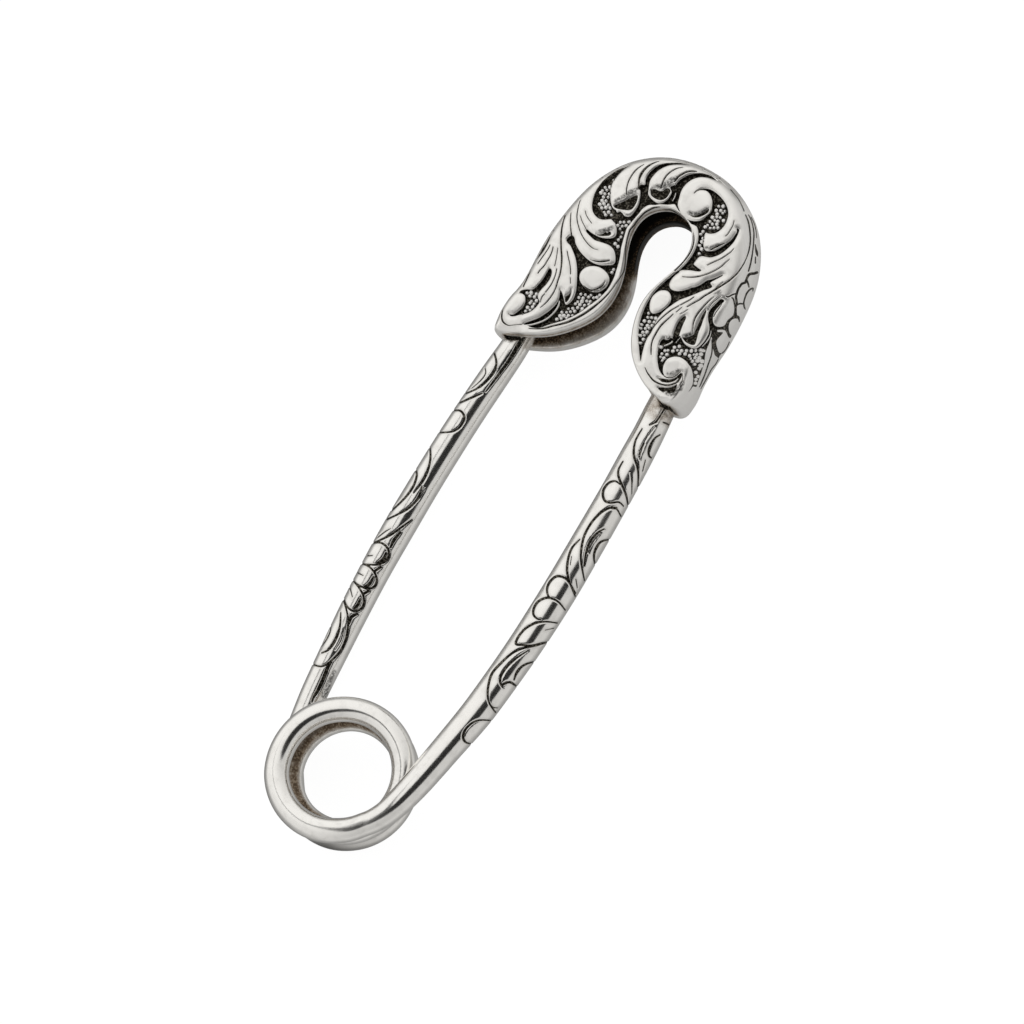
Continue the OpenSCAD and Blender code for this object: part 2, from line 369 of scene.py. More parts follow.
@dataclass
class Carving:
    """A drawing of marks and bosses, with the depths that the graver gives each kind."""

    marks: list[Mark]
    bosses: list[Boss] = field(default_factory=list)
    beading: Beading = field(default_factory=Beading)
    ground_depth: float = 0.34
    facet_depth: float = 0.13
    line_depth: float = 0.05
    bead_rise: float = 0.24
    swell: float = 0.05
    rounding: float = 0.04
    # How far outside an edge the metal starts to fall, and how wide each slope is.
    edge_start: float = 0.012
    ground_slope: float = 0.11
    facet_slope: float = 0.16
    line_start: float = 0.055
    line_slope: float = 0.09
    # How far from an edge a line is at full depth, the swelling at its top, and the rounding at its end.
    line_clearance: float = 0.1
    swell_reach: float = 0.42
    round_reach: float = 0.13
    # How far inside the ground beads begin, and how deep inside a bead its top is.
    bead_start: float = 0.02
    bead_top: float = 0.09
    # Reach and fade of the dark specks, which are oxide on the arms and painted shade on the leaves.
    oxide_and_shade_start: float = 0.3
    oxide_and_shade_fade: float = 0.42

    def at(self, x: Array, y: Array) -> Relief:
        """The carving at points of the drawing.

        The floor drops by each kind's depth over about a tenth of a millimetre at an edge. Between marks the
        metal swells with the distance from them, and rounds off just at their edges. A bead is a dome on the
        floor: the root of 2 r h - h^2, h being the depth inside it and r that of its top.

        Args:
            x: First coordinate of each point.
            y: Second coordinate of each point.

        Returns:
            The relief at those points.
        """
        plot = Plot.of(x, y)
        ground = sunk_ground(self.marks, plot)
        facet = nearest(self.marks, (Cut.FACET,), plot)
        line = nearest(self.marks, (Cut.LINE,), plot)
        edge = np.minimum(ground, facet)
        sunk = -self.ground_depth * ease((self.edge_start - ground) / self.ground_slope)
        sunk = np.minimum(sunk, -self.facet_depth * ease((self.edge_start - facet) / self.facet_slope))
        height = sunk + self.swell * ease(edge / self.swell_reach)
        height -= self.rounding * (1 - ease(edge / self.round_reach))
        engraved = ease((self.line_start - line) / self.line_slope)
        height -= self.line_depth * engraved * ease(edge / self.line_clearance)
        for boss in self.bosses:
            height += boss.rise(plot.x, plot.y)
        bead = np.full(line.shape, -FAR)
        if any(mark.cut is Cut.BEADS for mark in self.marks):
            bead = np.where(ground < -self.bead_start, self.beading.inside(plot, self.marks), bead)
        top = self.bead_top
        deep = np.clip(bead, 0, top)
        height += self.bead_rise * np.sqrt(np.clip(2 * top * deep - deep**2, 0, 1)) / top
        # Dark specks: oxide on the arms, painted shade on the face's leaves.
        oxide_and_shade = ease((self.oxide_and_shade_start - nearest(self.marks, (Cut.OXIDE_AND_SHADE,), plot)) / self.oxide_and_shade_fade)
        return Relief(*(plot.laid_back(v) for v in (height, np.minimum(edge, line), bead, oxide_and_shade)))


def marks_of(cut: Cut, *rows: tuple[Row, ...]) -> list[Mark]:
    """Marks of one kind."""
    return [Mark(cut, r) for r in rows]


def face_ground() -> list[Mark]:
    """The ground between the scrolls. Rows: x, y."""
    return marks_of(
        Cut.GROUND,
        ((-5.05, 43.18), (-4.83, 43.06), (-4.58, 42.85), (-4.33, 42.6), (-4.13, 42.41), (-3.96, 42.35),
         (-3.81, 42.56), (-3.72, 42.89), (-3.73, 43.27), (-3.85, 43.72), (-4.04, 44.15), (-4.31, 44.64),
         (-4.61, 45.15), (-4.96, 45.65), (-5.3, 46.04), (-5.65, 46.35), (-6.02, 46.63), (-6.35, 46.85),
         (-6.65, 46.93), (-6.86, 47.06), (-6.87, 47.29), (-6.8, 47.5), (-6.68, 47.62), (-6.48, 47.62),
         (-6.28, 47.47), (-6.09, 47.23), (-5.74, 46.98), (-5.31, 46.76), (-4.81, 46.59), (-4.35, 46.49),
         (-3.93, 46.45), (-3.47, 46.49), (-3.05, 46.62), (-2.62, 46.87), (-2.31, 47.09), (-2.23, 47.37),
         (-2.38, 47.68), (-2.61, 47.99), (-2.88, 48.22), (-3.21, 48.35), (-3.57, 48.39), (-4, 48.33),
         (-4.4, 48.26), (-4.76, 48.2), (-5.1, 48.26), (-5.45, 48.36), (-5.74, 48.46), (-5.84, 48.54),
         (-5.76, 48.67), (-5.45, 48.6), (-5.09, 48.57), (-4.65, 48.58), (-4.29, 48.64), (-3.97, 48.75),
         (-3.67, 48.91), (-3.44, 49.13), (-3.37, 49.38), (-3.5, 49.7), (-3.71, 49.98), (-3.98, 50.22),
         (-4.16, 50.27), (-4.46, 50.36), (-4.75, 50.19), (-5.12, 49.99), (-5.53, 49.94), (-5.95, 50.06),
         (-6.26, 50.28), (-6.52, 50.63), (-6.69, 51.02), (-6.83, 51.49), (-6.89, 51.99), (-6.87, 52.44),
         (-6.81, 52.9), (-6.65, 53.37), (-6.42, 53.88), (-6.13, 54.37), (-5.83, 54.68), (-5.57, 54.98),
         (-5.71, 54.65), (-5.82, 54.35), (-5.91, 54.01), (-5.97, 53.63), (-6, 53.28), (-5.97, 52.95),
         (-5.88, 52.61), (-5.69, 52.23), (-5.46, 51.86), (-5.25, 51.59), (-4.98, 51.34), (-4.74, 51.22),
         (-4.48, 51.2), (-4.31, 51.08), (-4.13, 51.27), (-3.86, 51.22), (-3.6, 51.12), (-3.34, 51.18),
         (-3.14, 51.34), (-3.07, 51.62), (-3.04, 51.97), (-3.05, 52.4), (-3.17, 52.83), (-3.34, 53.22),
         (-3.6, 53.62), (-3.8, 53.66), (-3.81, 54.05), (-3.47, 54.21), (-3.61, 54.48), (-3.7, 54.82),
         (-3.69, 55.19), (-3.61, 55.57), (-3.46, 55.96), (-3.23, 56.31), (-2.95, 56.58), (-2.46, 56.9),
         (-1.86, 57.21), (-1.53, 57.31), (-1.19, 57.39), (-1.79, 57.09), (-2.29, 56.79), (-2.68, 56.45),
         (-2.95, 56.09), (-3.13, 55.75), (-3.24, 55.36), (-3.3, 54.89), (-3.25, 54.57), (-3.12, 54.25),
         (-2.98, 53.94), (-2.82, 53.64), (-2.62, 53.5), (-2.28, 53.39), (-1.95, 53.34), (-1.68, 53.37),
         (-1.39, 53.54), (-1.19, 53.86), (-1.11, 54.29), (-1.16, 54.7), (-1.5, 55.01), (-1.29, 55.31),
         (-1.18, 55.37), (-1.17, 55.66), (-1.05, 56.04), (-0.86, 56.37), (-0.59, 56.72), (-0.19, 57.04),
         (0.24, 57.29), (0.66, 57.41), (1.11, 57.47), (1.51, 57.45), (1.94, 57.4), (1.33, 57.28),
         (0.89, 57.2), (0.42, 57), (0.08, 56.75), (-0.21, 56.43), (-0.39, 56.07), (-0.49, 55.68),
         (-0.52, 55.33), (-0.47, 54.97), (-0.37, 54.63), (-0.28, 54.29), (-0.13, 53.98), (0.14, 53.74),
         (0.42, 53.55), (0.86, 53.39), (1.28, 53.34), (1.64, 53.39), (1.95, 53.53), (2.25, 53.76),
         (2.4, 54.06), (2.48, 54.34), (2.57, 54.58), (2.59, 54.88), (2.46, 55.25), (2.26, 55.62),
         (2.01, 55.88), (1.72, 56.07), (1.43, 56.15), (1.16, 56.11), (0.89, 55.99), (0.85, 56.05),
         (1.08, 56.23), (1.48, 56.38), (1.86, 56.41), (2.28, 56.36), (2.68, 56.25), (3.11, 56.09),
         (3.48, 55.88), (3.79, 55.61), (4.02, 55.29), (4.14, 54.97), (4.23, 54.59), (4.22, 54.2),
         (4.14, 53.85), (3.99, 53.54), (3.75, 53.29), (3.42, 53.12), (3.16, 53.06), (3.2, 52.79),
         (3.29, 52.5), (3.44, 52.2), (3.66, 51.92), (3.84, 51.78), (4.05, 51.76), (4.31, 51.88),
         (4.59, 52.08), (4.81, 52.34), (5.04, 52.77), (5.21, 53.13), (5.37, 53.5), (5.43, 53.97),
         (5.44, 54.36), (5.28, 54.59), (5.51, 54.61), (5.6, 54.39), (5.65, 53.93), (5.65, 53.45),
         (5.55, 52.97), (5.4, 52.5), (5.18, 52.05), (4.91, 51.7), (4.59, 51.43), (4.22, 51.31),
         (3.93, 51.22), (3.78, 51.07), (3.7, 50.89), (3.65, 50.57), (3.66, 50.29), (3.91, 50.23),
         (4.18, 50.18), (4.49, 50.15), (4.43, 50), (4.16, 49.88), (3.83, 49.78), (3.45, 49.62),
         (3.08, 49.42), (2.85, 49.16), (2.94, 49.49), (3.06, 49.93), (3.12, 50.39), (3.17, 50.8),
         (3.15, 51.23), (3.1, 51.63), (2.99, 52.05), (2.78, 52.52), (2.48, 52.94), (2.23, 53.15),
         (1.97, 53.17), (1.69, 53.15), (1.44, 53.23), (0.98, 53.36), (0.5, 53.49), (0.1, 53.67),
         (-0.21, 53.85), (-0.44, 53.92), (-0.87, 53.65), (-1.48, 53.37), (-1.82, 53.12), (-2.2, 52.94),
         (-2.43, 52.68), (-2.6, 52.3), (-2.64, 51.89), (-2.71, 51.52), (-2.8, 51.03), (-2.85, 50.62),
         (-2.88, 50.32), (-2.77, 49.84), (-2.64, 49.38), (-2.52, 48.96), (-2.38, 48.55), (-2.2, 48.16),
         (-2.03, 47.72), (-1.89, 47.26), (-1.79, 46.84), (-1.68, 46.41), (-1.61, 45.97), (-1.58, 45.5),
         (-1.6, 45.05), (-1.71, 44.59), (-1.85, 44.1), (-2.04, 43.61), (-2.27, 43.11), (-2.47, 42.63),
         (-2.75, 42.12), (-3.1, 41.58), (-3.49, 41.08), (-3.92, 40.66), (-4.32, 40.27), (-4.58, 39.97),
         (-4.81, 39.71), (-5.16, 39.47), (-5.57, 39.33), (-5.95, 39.31), (-6.27, 39.25), (-6.09, 39.54),
         (-5.8, 39.86), (-5.45, 40.26), (-5.22, 40.68), (-5, 41.13), (-4.86, 41.54), (-4.76, 41.94),
         (-4.75, 42.33), (-4.86, 42.7), (-5, 43.02)),
        ((-6.84, 44.36), (-6.58, 44.26), (-6.42, 43.91), (-6.36, 43.5), (-6.4, 43), (-6.5, 42.61),
         (-6.55, 42.24), (-6.53, 41.97), (-6.4, 41.74), (-6.19, 41.61), (-6.08, 41.48), (-6.09, 41.13),
         (-6.19, 40.74), (-6.39, 40.34), (-6.69, 40.02), (-7.02, 39.75), (-7.27, 39.51), (-7.56, 39.34),
         (-7.76, 39.4), (-7.48, 39.53), (-7.29, 39.87), (-7.16, 40.23), (-7.1, 40.52), (-7.13, 40.87),
         (-7.26, 41.14), (-7.47, 41.37), (-7.77, 41.42), (-8, 41.38), (-7.96, 41.64), (-7.64, 41.89),
         (-7.23, 42.1), (-7.05, 42.37), (-6.96, 42.7), (-6.88, 43.13), (-6.86, 43.58), (-6.87, 44.01)),
        ((2.8, 49.23), (2.65, 48.84), (2.51, 48.43), (2.36, 48.04), (2.22, 47.62), (2.1, 47.25),
         (2.02, 46.83), (1.96, 46.36), (1.96, 45.97), (1.96, 45.59), (1.99, 45.22), (2.05, 44.87),
         (2.12, 44.47), (2.22, 44.1), (2.37, 43.7), (2.55, 43.31), (2.76, 42.9), (3, 42.54), (3.31, 42.13),
         (3.61, 41.72), (3.93, 41.31), (4.06, 41.18), (3.92, 41.53), (3.76, 41.96), (3.63, 42.39),
         (3.55, 42.74), (3.49, 43.31), (3.51, 43.7), (3.49, 44.11), (3.44, 44.5), (3.4, 44.82),
         (3.41, 45.11), (3.5, 45.52), (3.63, 45.95), (3.79, 46.34), (3.96, 46.7), (4.19, 47.13),
         (4.47, 47.45), (4.82, 47.85), (5.21, 48.32), (5.53, 48.75), (5.9, 49.12), (6.03, 49.38),
         (5.81, 49.5), (5.73, 49.63), (5.85, 49.84), (6.1, 50.23), (6.32, 50.59), (6.25, 50.61),
         (5.93, 50.19), (5.64, 49.86), (5.38, 49.64), (5.25, 49.38), (5.07, 49.03), (4.8, 48.68),
         (4.56, 48.51), (4.37, 48.26), (4, 47.92), (3.72, 47.73), (3.4, 47.61), (3.07, 47.59),
         (2.81, 47.77), (2.71, 48.03), (2.7, 48.36), (2.79, 48.77), (2.95, 49.16)),
        ((4.7, 43.61), (4.81, 43.7), (5.08, 43.74), (5.2, 43.9), (5.23, 44.08), (5.39, 44.07),
         (5.34, 44.27), (5.51, 44.31), (5.78, 44.52), (5.9, 44.52), (6.07, 44.43), (6.4, 44.21),
         (6.8, 44.11), (7.18, 44.13), (7.51, 44.22), (7.74, 44.49), (7.86, 44.88), (7.91, 45.25),
         (7.9, 45.58), (7.86, 45.89), (7.72, 46.2), (7.53, 46.48), (7.29, 46.74), (7.08, 47.01),
         (6.95, 47.29), (6.9, 47.52), (6.93, 47.79), (7.03, 48.16), (7.1, 48.46), (7.18, 48.76),
         (7.32, 48.86), (7.56, 48.83), (7.53, 48.62), (7.45, 48.33), (7.37, 48.02), (7.32, 47.68),
         (7.37, 47.38), (7.47, 47.12), (7.67, 46.84), (7.93, 46.69), (8.19, 46.67), (8.45, 46.78),
         (8.61, 46.93), (8.69, 47.13), (8.67, 47.38), (8.68, 47.57), (8.75, 47.77), (8.83, 47.97),
         (8.88, 48.13), (9.14, 48.01), (9, 47.79), (8.93, 47.56), (8.95, 47.33), (9.05, 47.1),
         (9.22, 46.85), (9.42, 46.67), (9.62, 46.59), (9.67, 46.37), (9.56, 46.33), (9.38, 46.41),
         (9.16, 46.58), (8.97, 46.69), (8.79, 46.67), (8.53, 46.54), (8.4, 46.44), (8.48, 46.31),
         (8.83, 46.47), (8.89, 46.37), (8.84, 46.15), (8.79, 45.91), (8.78, 45.64), (8.86, 45.42),
         (9, 45.25), (9.2, 45.07), (9.39, 44.92), (9.54, 44.87), (9.7, 44.93), (9.66, 44.65), (9.68, 44.42),
         (9.53, 44.46), (9.28, 44.51), (9.06, 44.71), (8.81, 44.96), (8.64, 45.18), (8.45, 45.47),
         (8.25, 45.72), (8.28, 45.49), (8.36, 45.17), (8.42, 44.75), (8.5, 44.35), (8.66, 43.93),
         (8.85, 43.52), (8.96, 43.06), (9.06, 42.68), (9.15, 42.28), (9.23, 41.87), (9.31, 41.57),
         (9.2, 41.45), (9.04, 41.39), (9.02, 41.06), (8.94, 40.76), (8.95, 40.9), (8.95, 41.21),
         (8.92, 41.51), (8.8, 41.83), (8.59, 42.17), (8.34, 42.48), (8.05, 42.71), (7.78, 42.82),
         (7.44, 42.96), (7.08, 43.02), (6.76, 43.01), (6.49, 42.91), (6.26, 42.77), (6.06, 42.57),
         (5.93, 42.35), (5.91, 42.01), (5.95, 41.72), (6.06, 41.45), (6.23, 41.22), (6.47, 41.03),
         (6.26, 41.05), (6.06, 41.13), (5.78, 41.31), (5.51, 41.6), (5.25, 41.92), (5.04, 42.25),
         (4.87, 42.6), (4.76, 42.87), (4.69, 43.15), (4.64, 43.39)),
    )


def face_isles() -> list[Mark]:
    """Metal that stands free in the ground. Rows: x, y."""
    return marks_of(
        Cut.ISLE,
        ((-3.85, 46.16), (-3.47, 46.33), (-3.11, 46.4), (-2.7, 46.37), (-2.29, 46.23), (-1.95, 45.98),
         (-1.8, 45.67), (-1.77, 45.3), (-1.87, 44.94), (-2.07, 44.61), (-2.37, 44.39), (-2.79, 44.26),
         (-3.2, 44.29), (-3.62, 44.42), (-3.99, 44.61), (-4.23, 44.87), (-4.35, 45.21), (-4.32, 45.56),
         (-4.18, 45.88)),
        ((2.57, 47.21), (2.89, 47.33), (3.24, 47.23), (3.49, 46.98), (3.62, 46.61), (3.58, 46.21),
         (3.43, 45.8), (3.25, 45.46), (3.01, 45.21), (2.79, 45.1), (2.54, 45.18), (2.35, 45.36),
         (2.19, 45.67), (2.07, 46.03), (2.06, 46.37), (2.15, 46.7), (2.31, 47.01)),
    )


def face_facets() -> list[Mark]:
    """Shallow hollows in the leaves. Rows: x, y."""
    return marks_of(
        Cut.FACET,
        ((-4.22, 43.64), (-4.19, 43.34), (-4.31, 43.06), (-4.39, 42.87), (-4.24, 42.59), (-4.09, 42.5),
         (-4.02, 42.66), (-4.01, 42.96), (-4.07, 43.31)),
        ((-4.88, 48.64), (-4.59, 48.81), (-4.38, 49.02), (-4.29, 49.21), (-4.09, 49.2), (-4.05, 49.36),
         (-3.89, 49.4), (-3.79, 49.26), (-3.87, 49.07), (-4.22, 48.84), (-4.52, 48.7)),
        ((-4.82, 51.38), (-4.8, 51.55), (-4.57, 51.82), (-4.3, 52.18), (-4.1, 52.5), (-3.88, 52.79),
         (-3.72, 53.02), (-3.54, 53.13), (-3.43, 52.98), (-3.33, 52.69), (-3.29, 52.35), (-3.31, 52.02),
         (-3.39, 51.83), (-3.55, 51.69), (-3.9, 51.54), (-4.31, 51.4), (-4.62, 51.34)),
        ((-2.77, 53.95), (-2.74, 54.14), (-2.53, 54.28), (-2.24, 54.3), (-1.99, 54.36), (-1.8, 54.54),
         (-1.74, 54.76), (-1.51, 54.86), (-1.28, 54.73), (-1.26, 54.45), (-1.26, 54.21), (-1.37, 53.91),
         (-1.59, 53.7), (-1.87, 53.6), (-2.21, 53.59), (-2.56, 53.68)),
        ((1.23, 53.75), (1.55, 53.85), (1.82, 54.06), (2.03, 54.36), (2.22, 54.69), (2.36, 54.93),
         (2.45, 54.71), (2.37, 54.44), (2.22, 54.2), (1.99, 53.94), (1.71, 53.76), (1.45, 53.7)),
        ((5.35, 46.22), (5.49, 46.1), (5.53, 45.87), (5.56, 45.56), (5.62, 45.21), (5.7, 44.81),
         (5.77, 44.52), (5.81, 44.3), (5.84, 44.05), (5.5, 43.87), (5.37, 44.18), (5.26, 44.44),
         (5.19, 44.79), (5.13, 45.14), (5.11, 45.45), (5.14, 45.72), (5.22, 46.02)),
        ((6.11, 44.53), (6.41, 44.71), (6.61, 44.91), (6.77, 45.17), (6.73, 45.58), (6.68, 45.98),
         (6.63, 46.39), (6.58, 46.79), (6.58, 47.19), (6.63, 47.44), (6.74, 47.26), (6.8, 46.96),
         (6.86, 46.58), (6.96, 46.18), (7.01, 45.82), (7.07, 45.47), (7.2, 45.06), (7.29, 44.75),
         (7.31, 44.51), (7.19, 44.39), (6.96, 44.33), (6.7, 44.32), (6.43, 44.36)),
        ((6.2, 40.63), (6.39, 40.64), (6.71, 40.75), (7, 40.91), (7.24, 41.16), (7.38, 41.45),
         (7.44, 41.68), (7.5, 41.84), (7.61, 41.93), (7.74, 41.78), (7.78, 41.54), (7.78, 41.28),
         (7.75, 41.08), (7.64, 41.06), (7.6, 41.42), (7.52, 41.34), (7.44, 41.14), (7.29, 40.97),
         (7.09, 40.76), (6.8, 40.61), (6.5, 40.51)),
        ((6.53, 39.98), (6.81, 40.15), (7.13, 40.27), (7.4, 40.46), (7.62, 40.69), (7.75, 40.95),
         (7.83, 40.75), (7.86, 40.58), (7.93, 40.35), (7.76, 40.1), (7.45, 39.96), (7.28, 40.03),
         (7.08, 39.83), (6.82, 39.82), (6.6, 39.86)),
    )


def face_beads() -> list[Mark]:
    """Parts of the ground with a beaded floor. Rows: x, y."""
    return marks_of(
        Cut.BEADS,
        ((-3.72, 43.69), (-3.39, 43.96), (-2.83, 44.02), (-2.32, 44.14), (-1.94, 44.49), (-1.71, 44.59),
         (-1.85, 44.1), (-2.04, 43.61), (-2.27, 43.11), (-2.47, 42.63), (-2.75, 42.12), (-3.1, 41.58),
         (-3.49, 41.08), (-3.93, 40.83), (-4.14, 41.01), (-4.11, 41.61), (-3.89, 42.21), (-3.6, 42.7),
         (-3.6, 43.18)),
        ((-3.71, 50.17), (-3.29, 50.3), (-3.02, 49.86), (-2.77, 49.21), (-2.65, 48.7), (-2.47, 48.4),
         (-2.7, 48.29), (-3.03, 48.59), (-3.19, 49.09), (-3.23, 49.55)),
        ((-2.26, 46.78), (-1.97, 46.93), (-1.78, 46.55), (-2, 46.43)),
        ((-6.42, 52.91), (-6.26, 53.29), (-6.06, 53.44), (-6.08, 53), (-5.96, 52.57), (-5.69, 52.04),
         (-5.37, 51.52), (-4.98, 51.05), (-4.61, 50.76), (-5.01, 50.45), (-5.64, 50.51), (-6.17, 50.81),
         (-6.4, 51.27), (-6.54, 51.98), (-6.54, 52.46)),
        ((2.63, 55.62), (2.95, 55.89), (3.4, 55.64), (3.78, 55.17), (3.94, 54.58), (3.87, 54.06),
         (3.58, 53.57), (3.04, 53.33), (2.66, 53.57), (2.72, 54.03), (2.86, 54.44), (2.83, 54.96),
         (2.69, 55.36)),
        ((-3.97, 50.52), (-3.19, 51.02), (-2.92, 50.58), (-3.19, 50.06), (-3.62, 50.12)),
        ((2.48, 53.13), (2.91, 53.07), (3.23, 52.38), (3.54, 51.86), (3.52, 51.18), (3.29, 50.67),
         (3.13, 50.78), (3.16, 51.37), (3.11, 52.02), (2.87, 52.57)),
        ((-7.94, 41.56), (-7.46, 41.91), (-6.89, 42.11), (-6.47, 41.75), (-6.22, 41.5), (-6.25, 40.91),
         (-6.62, 40.23), (-7.13, 39.76), (-7.07, 40.47), (-7.07, 40.95), (-7.34, 41.39)),
        ((2.63, 45.03), (3.13, 45.01), (3.28, 44.61), (3.35, 44.17), (3.35, 43.69), (3.35, 43.21),
         (3.43, 42.77), (3.5, 42.33), (3.46, 41.92), (3.07, 42.39), (2.72, 42.97), (2.44, 43.59),
         (2.2, 44.13), (2.08, 44.65), (2.25, 45.02)),
        ((4.83, 43.03), (5.51, 43.2), (5.92, 43.8), (6.64, 43.9), (7.28, 43.96), (7.73, 44.19),
         (7.99, 44.71), (8.27, 44.58), (8.51, 43.94), (8.74, 43.39), (8.95, 42.81), (9.1, 42.2),
         (9.18, 41.75), (9.05, 41.7), (8.9, 42.1), (8.6, 42.5), (8.25, 42.94), (7.83, 43.15), (7.34, 43.22),
         (6.9, 43.32), (6.31, 43.15), (5.84, 42.81), (5.65, 42.32), (5.62, 41.73), (5.34, 41.96),
         (5.02, 42.56)),
    )


def face_rims() -> list[Mark]:
    """Thin edges that stand in the ground. Rows: x, y, half width."""
    return marks_of(
        Cut.RIM,
        ((-4.64, 42.34, 0.04), (-4.53, 42.1, 0.07), (-4.49, 41.74, 0.07), (-4.53, 41.33, 0.07),
         (-4.65, 40.88, 0.07), (-4.81, 40.51, 0.07), (-5.07, 40.13, 0.07), (-5.37, 39.8, 0.07),
         (-5.75, 39.47, 0.06), (-6.24, 39.14, 0.05)),
        ((-4.09, 43.98, 0.04), (-3.93, 43.48, 0.05), (-3.87, 42.98, 0.06), (-3.9, 42.63, 0.06),
         (-4.01, 42.41, 0.06)),
        ((-2.58, 53.57, 0.05), (-2.11, 53.43, 0.07), (-1.71, 53.42, 0.07), (-1.42, 53.6, 0.07),
         (-1.24, 53.93, 0.07), (-1.17, 54.31, 0.06)),
        ((-0.82, 54.78, 0.03), (-0.72, 54.45, 0.04), (-0.71, 54.11, 0.04)),
        ((1.39, 53.48, 0.03), (1.8, 53.61, 0.05), (2.12, 53.88, 0.06), (2.32, 54.21, 0.05),
         (2.44, 54.48, 0.03)),
        ((5.51, 44.07, 0.04), (5.5, 43.77, 0.06), (5.39, 43.55, 0.06), (5.25, 43.38, 0.06),
         (5.12, 43.23, 0.05)),
        ((5.94, 44.46, 0.02), (5.87, 44.16, 0.03), (5.84, 43.89, 0.02)),
        ((7.95, 46.13, 0.03), (8.09, 45.72, 0.04), (8.11, 45.31, 0.05), (8.05, 44.94, 0.04),
         (7.98, 44.66, 0.03)),
    )


